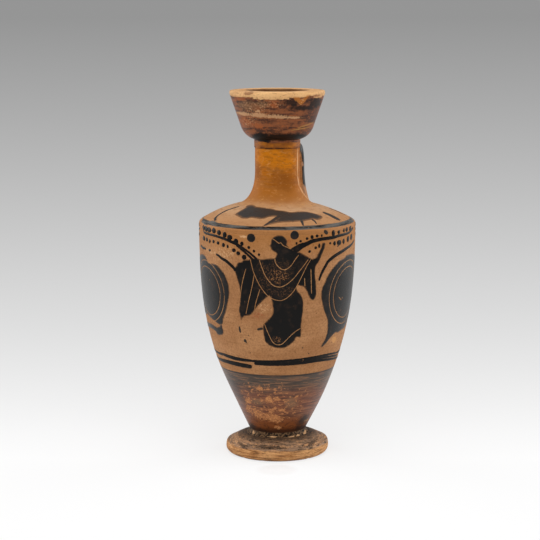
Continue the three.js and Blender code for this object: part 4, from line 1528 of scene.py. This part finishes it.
RIGHT_EYE_SEEN = [
    (347, 254.7), (344.1, 258), (339.8, 260.4), (336, 264.2), (332.7, 268), (329.3, 272.8),
    (326.4, 278.1), (324.5, 282.9), (322.6, 286.7), (321.2, 292), (320.9, 297.2), (322.1, 303.4),
    (323.6, 309.6), (325.5, 314.9), (327.2, 319.7), (327.4, 325.4), (327.2, 330.7), (326, 335.9),
    (324, 340.7), (321.7, 344.5), (320.5, 346.9), (321.7, 347.4), (324, 345.5), (327.4, 341.7),
    (330.3, 337.8), (335, 333), (337.9, 332.6), (340.8, 330.2), (344.6, 326.8),
]
RIGHT_EYE_GUESSED = [
    (49, 60), (56, 64.5), (60.5, 69.5), (66.5, 73.3), (62, 77), (58, 82), (52.5, 87), (46.5, 89.4),
]
LEFT_EYE_CENTRE = Vector((-39.1, 74.3))
RIGHT_EYE_CENTRE = Vector((39.2, 73.8))
LEFT_EYE_RINGS = [10.7, 13.4]
RIGHT_EYE_RINGS = [11.2, 13.9]
RING_STEPS = 120
SCRATCH_WIDTH = 0.27
SCRATCH_FLOOR_SPREAD = 1.25  # the pale floor reaches under the slip at both sides
SCRATCH_FLOOR = 0.02
SCUFF_THICKNESS = 0.12


def circle(centre, radius):
    turns = [math.tau * step / RING_STEPS for step in range(RING_STEPS + 1)]
    return [centre + Vector((math.cos(turn), math.sin(turn))) * radius for turn in turns]


def scratched(name, lines):
    """The floors of scratches: pale clay in the open lines of a painted shape."""
    floors = [[Vector((*at, SCRATCH_WIDTH * SCRATCH_FLOOR_SPREAD)) for at in line] for line in lines]
    strokes(name, side, floors, incised, thickness=SCRATCH_FLOOR)


left_rings = [circle(LEFT_EYE_CENTRE, radius) for radius in LEFT_EYE_RINGS]
right_rings = [circle(RIGHT_EYE_CENTRE, radius) for radius in RIGHT_EYE_RINGS]
for name, seen_half, guessed_half, rings in (
    ("left_eye", LEFT_EYE_SEEN, LEFT_EYE_GUESSED, left_rings),
    ("right_eye", RIGHT_EYE_SEEN, RIGHT_EYE_GUESSED, right_rings),
):
    disc = [side.flat(pixel) for pixel in seen_half] + guessed_half
    filled(name, side, disc, black_slip, [ribbon(ring, SCRATCH_WIDTH) for ring in rings])
filled("left_tear", side, [side.flat(pixel) for pixel in LEFT_TEAR], black_slip)
scratched("eye_rings", left_rings + right_rings)

# Small scuffs through the discs, as pixels across and down and their width
EYE_SCUFFS = [
    [(338.4, 296.6, 0.5), (340.2, 298.8, 0.8), (341.4, 300.4, 0.5)], [(342.6, 296.4, 0.5), (341.6, 299, 0.7)],
    [(336.4, 311, 0.5), (336.9, 312.4, 0.6)], [(209.4, 279.4, 0.7), (210.2, 280.2, 0.7)],
    [(212.4, 284.6, 0.6), (213, 285.6, 0.6)],
]
eye_scuffs = [side.drawn(line) for line in EYE_SCUFFS]
strokes("eye_scuffs", side, eye_scuffs, incised, thickness=SCUFF_THICKNESS)

# Figure: a draped figure who walks to the left and looks down, one arm raised, in solid black slip.
# The folds of the cloak and skirt are scratched in. The head is a plain profile.
CLOAK = [
    (234.4, 269), (236.3, 265.6), (237.6, 262.8), (241.4, 261.8), (243.9, 259.9), (249, 259.3), (256, 258),
    (261.2, 259.3), (268.8, 258.3), (274.9, 258), (275.8, 256), (276.4, 253.2),
]
HEAD = [
    (273.6, 251.6), (271.6, 250), (270.6, 247.8), (269.4, 246), (270.6, 243.6), (270.8, 241), (272.4, 238),
    (275.6, 235.9), (279.6, 235.2), (283.4, 236.2), (286, 238.6), (287.4, 241.6),
]
SHOULDER_AND_ARM = [
    (287.3, 245.2), (290.5, 248.4), (294.3, 250), (301.3, 252.9), (307.1, 256.1), (310.9, 258.3),
    (315.4, 258), (317.6, 254.2), (319.6, 250.6), (321.4, 246.8), (322.3, 243), (325.3, 243.2),
    (324.7, 248), (322.8, 252.6), (321, 257.4), (318.8, 262), (316.6, 265), (315.4, 267.8),
    (315.4, 275.8), (316.3, 285.4), (316.3, 295), (314.7, 298.9), (312.8, 300.2), (310.3, 298.9),
    (308.4, 295.7), (306.8, 291.9), (305.8, 289.9), (303.9, 287.3), (300.1, 286), (297.5, 285.4),
]
SKIRT_OUTLINE = [
    (296.9, 288.6), (298.2, 291.8), (301.3, 295), (303.3, 301.5), (303.3, 309.1), (302.3, 317.4),
    (301.3, 325.7), (300.4, 337.2), (296.6, 337.2), (294.3, 341), (289.2, 345.5), (284.1, 348),
    (279, 348.4), (273.9, 347.4), (269.5, 345.5), (265.6, 342.3), (264.4, 338.5), (263.4, 333.4),
    (262.8, 328.3), (263.4, 324.4), (265.6, 321.9), (268.8, 318.7), (272, 314.9), (273, 311),
    (272.3, 304.7), (271.4, 300.2), (269.5, 296.1),
]
CLOAK_END = [
    (267.5, 297), (261.8, 302.1), (258, 305.9), (254.8, 309.8), (251.6, 314.2), (249, 315.8),
    (245.2, 316.1), (242.3, 318.7), (241.1, 320), (239.8, 314.2), (238.8, 311), (239.8, 302.8),
    (240.1, 296.4), (239.5, 286.7), (237.6, 280.9), (235.7, 274.6),
]
FOLDS = [
    [(250.3, 259.3), (251.6, 265), (253.5, 272), (256.1, 278.4), (259.3, 284.8), (263.1, 290.5),
     (267.5, 295.6), (272, 298.6), (276.5, 300.2), (280.9, 300.5), (285.4, 298.9), (289.9, 295.4),
     (293.7, 291.1), (296.9, 286), (300.1, 279.7), (303.9, 272), (307.7, 264.4), (310.9, 259.3)],
    [(259.3, 259.9), (260.5, 263.7), (262.4, 268.8), (265, 275.2), (268.8, 280.9), (273.3, 285.4),
     (278.4, 287), (282.8, 286.4), (287.9, 283.5), (293.7, 278.4), (298.8, 272), (303.3, 266.3),
     (308.4, 259.3)],
    [(274.9, 258.6), (275.2, 261.8), (277.4, 265.6), (280.9, 268.8), (284.1, 269.8), (287.3, 268.8),
     (291.1, 265.6), (295, 259.9), (298.8, 254.8)],
    [(272, 238.5), (275.2, 240.4), (279, 243.3), (280.9, 242.7), (282.8, 245.2), (286.7, 247.1),
     (291.8, 249.4)],
    [(245.9, 268.8), (243.9, 275.8), (242, 284.1), (240.8, 292.4), (240.1, 298.3)],
    [(254.1, 274.6), (252.9, 282.2), (251, 291.1), (249, 299.4), (245.9, 314.2)],
    [(259.9, 289.2), (258, 295.6), (257.3, 297.7), (255.4, 304.7), (254.5, 309.8)],
    [(304.5, 277.7), (304.8, 282), (304.9, 286.7)],
    [(310.9, 268.8), (311.2, 279), (311.5, 293.7)],
    [(264.4, 323.8), (266.3, 328.9), (268.8, 334.6), (272, 341), (275.2, 344.2), (279, 344.8),
     (282.2, 343.9), (286.7, 339.7), (291.8, 334.6), (296.9, 330.5), (300.7, 328.3)],
]
STIPPLED = [(278, 276, 9, 7), (277, 339.7, 4, 2.6)]
FAINTLY_STIPPLED = [(266, 286, 10, 8, 40), (284, 292, 12, 5), (276, 273, 15, 12), (263, 269, 5, 7)]
THINNED = [(276, 276, 16, 13), (280, 294, 12, 5), (277, 339.7, 5, 4)]
NET_BROWN = srgb(156, 106, 64)


def figure_finish():
    look = slip_finish("black slip, worn at the chest", soft=True)
    look.wall = body_look.wall
    look.stain(THINNED, SLIP_THIN, 0.45, 0.06)
    net = look.speckle(0.6, 0.53, 0.58, detail=4.0, seed=31, roughness=0.65)
    stippled = look.patches(STIPPLED, soft=0.4)
    faint = look.product(look.patches(FAINTLY_STIPPLED, soft=0.4), 0.28)
    look.coat(NET_BROWN, 0.6, net, look.either(stippled, faint), 0.75, thickness=-0.02)
    return look.done(sheen=0.12)


folds = [flowing([side.flat(pixel) for pixel in fold], BRUSH_STEP) for fold in FOLDS]
filled(
    "draped_figure", side,
    [side.flat(pixel) for pixel in CLOAK + HEAD + SHOULDER_AND_ARM + SKIRT_OUTLINE + CLOAK_END],
    figure_finish(), [ribbon(fold, SCRATCH_WIDTH) for fold in folds],
)
scratched("fold_lines", folds)

# Vines: two branches with a row of berries on each side, from the figure's shoulders round to the back.
# Below them lie the eyebrows, and two large dots fill the ground by the head. At the back they are a guess.
VINES = [
    [(203.6, 227.4, 1.8), (204, 231.7, 1.9), (208, 233.8, 2.1), (215.1, 235.8, 2.2), (222.3, 238.2, 2.4),
     (229.5, 241, 2.6), (235, 243.4, 2.8), (240.4, 246.4, 2.2), (245.4, 249.8, 1.9), (250.2, 253.4, 1.9),
     (254, 256.8, 2.0), (257.4, 259.8, 2.0)],
    [(236, 244.6, 2.0), (239.4, 247.6, 2.0), (243.6, 251.2, 2.1), (248, 255, 2.2), (251.8, 258.6, 2.2),
     (254, 261, 2.0)],
    [(291, 252.4, 5.8), (296.8, 248.9, 6.0), (301.6, 246, 5.0), (306.3, 244.1, 4.0), (311.1, 241.7, 3.6),
     (315.9, 240.3, 3.4), (320.7, 239.3, 3.1), (325.5, 238.6, 3.0), (330.3, 237.9, 3.0), (335, 237, 2.8),
     (339.8, 235.5, 2.6), (344.6, 234.3, 2.4), (349.4, 232.2, 2.1), (352.3, 228.8, 1.9), (353.2, 226.8, 1.8)],
]
EYEBROWS = [
    [(200.8, 245.1, 2.0), (202.7, 247.5, 2.3), (206, 248.8, 1.7)],
    [(215.8, 253.9, 1.7), (218.5, 255.6, 2.2), (221.8, 258.5, 2.5), (225.7, 260.6, 2.8), (229.5, 264, 2.9),
     (233.8, 268, 2.9), (235.7, 271.4, 2.6)],
    [(354.2, 239.8, 1.7), (351.8, 244.1, 2.3), (347, 248, 2.8), (342.2, 251.3, 3.0), (337.4, 254.2, 3.2),
     (332.7, 257.5, 3.2), (327.9, 261.8, 3.0), (326, 265.2, 2.9), (323.1, 270.4, 2.8), (320.7, 275.7, 2.5),
     (319, 281, 2.0)],
]
# Berries as pixels across and down, half the width and half the height
LEFT_BERRIES = [
    (209, 229.4, 1.8, 2.6), (213.8, 230.6, 1.7, 2.4), (219, 232.7, 1.8, 2.2), (224.6, 234.8, 1.8, 2.6),
    (229.7, 237.5, 2.2, 2.4), (235.9, 241.5, 2.0, 2.6), (241.9, 243.7, 1.6, 1.8), (248.8, 247.4, 1.3, 1.3),
    (253.9, 251.1, 1.2, 1.2), (259, 254.7, 1.1, 1.1), (203.9, 238.2, 1.0, 2.2), (209.7, 241.2, 0.8, 1.5),
    (213.5, 241.6, 1.0, 1.5), (218, 242.9, 1.2, 1.5), (223.4, 245, 1.3, 1.8), (227.6, 246.5, 0.9, 1.5),
    (233.9, 250.3, 1.7, 1.7), (238.1, 253.2, 1.7, 1.7), (244.1, 257.3, 2.0, 2.3), (209.6, 250.3, 1.0, 1.0),
    (203.6, 227.6, 1.0, 2.0), (206, 228.8, 1.3, 2.4), (206.8, 239.6, 0.9, 1.8),
]
RIGHT_BERRIES = [
    (296.5, 243.4, 1.0, 1.2), (300.6, 241.2, 1.1, 1.1), (307.1, 238.5, 1.2, 1.2), (312.1, 237.1, 1.4, 1.7),
    (317.1, 236, 1.3, 1.3), (321.7, 235.6, 0.8, 1.2), (333.4, 233.4, 1.4, 2.9), (338.9, 232.2, 1.3, 1.7),
    (343.9, 230.5, 0.9, 1.7), (346.8, 229.5, 1.0, 1.9), (350.3, 228.3, 1.0, 2.4), (309.6, 251.5, 1.2, 1.2),
    (315.8, 247.8, 1.2, 1.2), (319.3, 245.8, 1.0, 1.9), (330.3, 243.2, 1.0, 1.0), (334.6, 243.4, 1.2, 1.9),
    (339.1, 242.7, 1.9, 2.4), (343.6, 241.3, 1.0, 2.4), (348, 239.1, 1.0, 2.6), (351.3, 237, 0.9, 2.9),
]
BIG_DOTS = [(251.1, 237.9), (294.6, 235.2)]
BIG_DOT_RADIUS = 1.9
BIG_DOT_LATTICE = 0.25
BIG_DOT_STEP = 5  # of the circle's points, every fifth one
SPLASHES = [
    [(324, 230.4, 2.2), (326.2, 232.4, 3.4), (328, 233.8, 2.0)],
    [(339.1, 243.4, 2.0), (338.2, 245.6, 1.4), (337.2, 247, 0.8)],
    [(239.2, 326.2, 1.4), (239.8, 329.6, 2.4), (240.4, 333, 1.8)],
    [(244.4, 339, 2.8), (245.2, 341, 3.2), (246.2, 343.6, 2.0)],
    [(257, 329.6, 1.8), (263, 328.4, 2.6)],
    [(248, 334.8, 0.9), (249, 336, 0.9)],
    [(250, 352, 0.9), (250.8, 353.6, 0.9)],
    [(302.2, 347, 0.9), (303, 348.6, 0.9)],
    [(308.2, 352.8, 0.9), (309.2, 354.2, 0.9)],
]
SLIP_SPLASHED = srgb(52, 46, 40)
BACK_VINES = [
    [(-47, 100.6, 0.7), (-55, 98.6, 0.9), (-66, 94, 1.0), (-76, 86, 1.0), (-83, 76, 0.9), (-88, 65, 0.6)],
    [(49, 100.6, 0.7), (57, 98.2, 0.9), (67, 93.4, 1.0), (76, 85.6, 1.0), (82, 76, 0.9), (86, 65, 0.6)],
]
BACK_BERRY_SPACING = 2.7
BACK_BERRY_OFFSET = 2.1
BACK_BERRY_SIZE = 0.7
BACK_BERRY_HEIGHT = 1.2  # for its width
BERRY_SPREAD = 1.18  # a berry is laid so much larger than its dark middle


def on_sheet(places):
    """Dabs read from the picture, as wide on the wall as it takes to look so wide there."""
    result = []
    for x, y, width, height in places:
        left, right = side.flat((x - width, y)), side.flat((x + width, y))
        half_width = (right.x - left.x) / 2 * BERRY_SPREAD
        result.append((*side.flat((x, y)), half_width, height * BERRY_SPREAD * PIXEL / MM))
    return result


def berries_along(line):
    """Berries at even steps on both sides of a vine."""
    places = []
    for at, left in list(with_left(flowing(line, BACK_BERRY_SPACING)))[1:-1]:
        for way in (-1, 1):
            spot = at.xy + left * BACK_BERRY_OFFSET * way
            places.append((*spot, BACK_BERRY_SIZE, BACK_BERRY_SIZE * BACK_BERRY_HEIGHT))
    return places


strokes("vines", side, [side.drawn(line) for line in VINES] + BACK_VINES, brush_slip)
strokes("eyebrows", side, [side.drawn(line) for line in EYEBROWS], brush_slip)
splashed = slip_finish("black slip, splashed", black=SLIP_SPLASHED, worn=0.32, roughness=0.45).done(sheen=0.1)
strokes("splashes", side, [side.drawn(line) for line in SPLASHES], splashed)
back_berries = [berry for line in BACK_VINES for berry in berries_along(line)]
dabs("berries", side, on_sheet(LEFT_BERRIES + RIGHT_BERRIES) + back_berries, brush_slip)
for name, pixel in zip(("left_dot", "right_dot"), BIG_DOTS):
    dot = circle(side.flat(pixel), BIG_DOT_RADIUS)[:-1:BIG_DOT_STEP]
    filled(name, side, dot, black_slip, softness=0.3, spacing=BIG_DOT_LATTICE)

# Painting on the shoulder: a striding animal in thin, worn slip, with a few strokes at each side of it.
# The slip is soft-edged and greyer than on the body: thin and worn, and its grey is partly a painted sheen.
ANIMAL = [
    (235, 214.9), (236.2, 213.2), (240.8, 210.4), (245.4, 207.8), (247.1, 205.5), (250, 204.9),
    (254.6, 205.5), (256.3, 206.6), (260.9, 207.2), (267.8, 208.1), (273.5, 209.2), (276.9, 210.1),
    (284.4, 210.9), (290.1, 212.1), (295.8, 211.8), (302.1, 211.5), (307.3, 211.8), (313.6, 213.2),
    (318.8, 214.9), (322, 216.1), (322.5, 217.8), (320.5, 219.5), (317.6, 220.1), (313.6, 219.2),
    (310.2, 220.1), (306.7, 220.7), (302.1, 221.8), (299.9, 221.5), (293, 222.1), (284.4, 222.4),
    (277.5, 223), (272.3, 224.1), (262, 226.4), (266.6, 224.1), (270.6, 221.8), (275.8, 219),
    (277.5, 217), (269.5, 217), (264.9, 218.4), (260.3, 219), (255.7, 218.4), (251.1, 217.8),
    (246.5, 218.7), (241.9, 218.4), (238.5, 216.7),
]
ANIMAL_LEGS = [
    [(311.6, 219, 1.2), (314.4, 221, 0.9), (316.8, 224, 0.5)],
    [(301.2, 220, 1.4), (302.2, 222.6, 1.0), (303.6, 225.9, 0.6)],
    [(281, 215, 1.6), (276, 218.6, 1.8), (270.6, 222, 1.5), (264, 225.8, 0.7)],
]
SHOULDER_STROKES = [
    [(239.6, 206.3, 1.0), (232.7, 208.3, 1.3), (226.4, 210.6, 1.4), (221.3, 213.2, 1.3), (217.2, 216.1, 1.2),
     (215.2, 218.4, 1.1), (215.5, 220.7, 0.8)],
    [(322.4, 212, 1.8), (327.4, 213.9, 2.6), (332, 216, 3.0), (336.6, 218.4, 2.8), (340.6, 220.3, 1.8)],
    [(328.6, 208.1, 0.8), (338.9, 210.6, 1.1), (346.3, 213.8, 0.8)],
]
# Grey of the shoulder's slip: thin and worn, with a painted sheen of the upward slope in it
GREY_SHEEN_SLIP = srgb(53, 47, 43)
SLANT = 2.2  # how much broader a stroke on the slope is than it looks from the camera
GROOVE_SIDE = 0.15  # how far the paint stays from the groove between neck and shoulder


class TopWall(SideWall):
    """A sloping wall laid flat as it looks from above."""

    def flat(self, pixel):
        spot = seen(self.wall, pixel)
        return Vector((spot.dot(RIGHT), -spot.dot(FRONT))) / MM

    def drawn(self, line):
        return super().drawn([(x, y, width * SLANT) for x, y, width in line])

    def spot(self, place):
        """As on the side, but never down in the groove round the neck's flange."""
        way = RIGHT * place[0] - FRONT * place[1]
        if FLANGE_RADIUS - GROOVE_SIDE < way.length < SEAT_RADIUS + GROOVE_SIDE:
            way = way.normalized() * (SEAT_RADIUS + GROOVE_SIDE)
        return self.met((way + UP * 2 * SHOULDER_HIGH) * MM, -UP)


top = TopWall(wall_of(shoulder, neck))
worn_sheen_slip = slip_finish("black slip, rubbed", black=GREY_SHEEN_SLIP, roughness=0.45, soft=True).done(sheen=0.2)
thin_sheen_slip = slip_finish("black slip, thin strokes", black=GREY_SHEEN_SLIP, roughness=0.45).done(sheen=0.2)
filled("animal", top, [top.flat(pixel) for pixel in ANIMAL], worn_sheen_slip, softness=1.8)
strokes("animal_legs", top, [top.drawn(line) for line in ANIMAL_LEGS], thin_sheen_slip)
strokes("shoulder_strokes", top, [top.drawn(line) for line in SHOULDER_STROKES], thin_sheen_slip)

# Stage: a pale sweep that is white under the flask and grows greyer with distance, and soft studio lamps.
# The floor takes the flask's shadow. Seen from below it is clear, so that the underside shows.
FLOOR_RADIUS = 30
FLOOR_SIDES = 96
FLOOR_GAP = 0.05  # the foot's ring and the floor do not share one plane
FLOOR_WHITE = 0.25
FLOOR_SHADOW = 0.3  # share of the floor's look that the lamps give, near the flask
FRONT_SHADOW = 0.7  # and so much more just in front of the foot
FRONT_SHADOW_AHEAD = 12  # how far its middle lies from the foot's edge
FRONT_SHADOW_RADIUS = 10.5
FRONT_SHADOW_CORE = 6
FLOOR_SHADOW_REACH = 0.5
FLOOR_SHADOW_CORE = 0.1
FLOOR_LAMPLIGHT = 1.1  # how bright the lamps make a white floor there
FLOOR_NEAR_SLOPE = 0.264  # slope at which the camera sees the white floor, and the floor that is greyest
FLOOR_FAR_SLOPE = 0.015
FLOOR_FAR_GREY = 148 / 255
FLOOR_BOUNCE = (0.8, 0.8, 0.8, 1.0)  # its colour for the light that it throws back on the flask
SCREEN_POWER = 2.2  # from a grey as it is seen to the light that it takes
ROOM_GREY = srgb(149, 149, 149)
ROOM_LIGHT = 0.34

floor_turns = [math.tau * step / FLOOR_SIDES for step in range(FLOOR_SIDES)]
floor_rim = [Vector((math.cos(turn), math.sin(turn), 0)) * FLOOR_RADIUS for turn in floor_turns]
floor_mesh = bpy.data.meshes.new("floor")
floor_mesh.from_pydata([at - UP * FLOOR_GAP * MM for at in floor_rim], [], [list(range(FLOOR_SIDES))])
floor = linked("floor", floor_mesh)


def floor_finish():
    material = bpy.data.materials.new("pale floor")
    material.use_nodes = True
    n = Nodes(material.node_tree)
    n.tree.nodes.clear()
    place = n.add("ShaderNodeTexCoord").outputs["Object"]
    away = n.vector("LENGTH", place)
    behind = n.either(n.vector("DOT_PRODUCT", place, -FRONT), n.total(away, -FLOOR_WHITE))
    # How steeply the camera looks down at the floor there, which falls evenly up the picture
    steep = n.math("DIVIDE", CAMERA_HEIGHT, n.total(behind, CAMERA_DISTANCE))
    grey = n.out("ShaderNodeMapRange", steep, FLOOR_FAR_SLOPE, FLOOR_NEAR_SLOPE, FLOOR_FAR_GREY, 1.0)
    light = n.math("POWER", grey, SCREEN_POWER)
    middle = FRONT * (FOOT_RADIUS + FRONT_SHADOW_AHEAD) * MM
    from_middle = n.vector("LENGTH", n.vector("SUBTRACT", place, middle))
    ahead = n.zone(from_middle, FRONT_SHADOW_RADIUS * MM, FRONT_SHADOW_CORE * MM)
    share = n.total(n.product(ahead, FRONT_SHADOW), FLOOR_SHADOW)
    shaded = n.product(n.zone(away, FLOOR_SHADOW_REACH, FLOOR_SHADOW_CORE), share)
    dimmed = n.math("DIVIDE", light, FLOOR_LAMPLIGHT)
    rays = n.add("ShaderNodeLightPath").outputs
    shown = n.either(rays["Is Camera Ray"], rays["Is Glossy Ray"])
    lit = n.add("ShaderNodeBsdfDiffuse", FLOOR_BOUNCE).outputs[0]
    tone = n.joined(light, light, light)
    lit_tone = n.add("ShaderNodeBsdfDiffuse", n.joined(dimmed, dimmed, dimmed)).outputs[0]
    own = n.add("ShaderNodeEmission", tone, 1.0).outputs[0]
    seen_floor = n.out("ShaderNodeMixShader", shaded, own, lit_tone)
    surface = n.out("ShaderNodeMixShader", shown, lit, seen_floor)
    clear = n.add("ShaderNodeBsdfTransparent").outputs[0]
    from_below = n.add("ShaderNodeNewGeometry").outputs["Backfacing"]
    surface = n.out("ShaderNodeMixShader", from_below, surface, clear)
    n.add("ShaderNodeOutputMaterial", surface)
    return material


floor.data.materials.append(floor_finish())


def lamp(name, place, size, power):
    """A square softbox that faces the middle of the flask."""
    data = bpy.data.lights.new(name, "AREA")
    data.size = size
    data.energy = power
    box = linked(name, data)
    box.location = place
    middle = UP * LIP_HIGH * MM / 2
    box.rotation_euler = (Vector(place) - middle).to_track_quat("Z", "Y").to_euler()


# Places and sizes are in metres, power is in watts
lamp("top softbox", UP * 1.0 + FRONT * 0.35, size=1.0, power=7.0)
for name, way in (("left softbox", -1), ("right softbox", 1)):
    lamp(name, RIGHT * 0.85 * way - FRONT * 0.35 + UP * 0.35, size=0.7, power=4.6)
lamp("front fill", FRONT * 1.0 + UP * 0.12, size=0.8, power=2.2)

world = bpy.data.worlds.new("studio")
world.use_nodes = True
room = Nodes(world.node_tree)
room.tree.nodes.clear()
room_rays = room.add("ShaderNodeLightPath").outputs
room_light = room.add("ShaderNodeBackground", (1, 1, 1, 1), ROOM_LIGHT).outputs[0]
room_wall = room.add("ShaderNodeBackground", ROOM_GREY, 1.0).outputs[0]
room_look = room.out("ShaderNodeMixShader", room_rays["Is Camera Ray"], room_light, room_wall)
room.add("ShaderNodeOutputWorld", room_look)
bpy.context.scene.world = world
bpy.context.scene.view_settings.view_transform = "Standard"
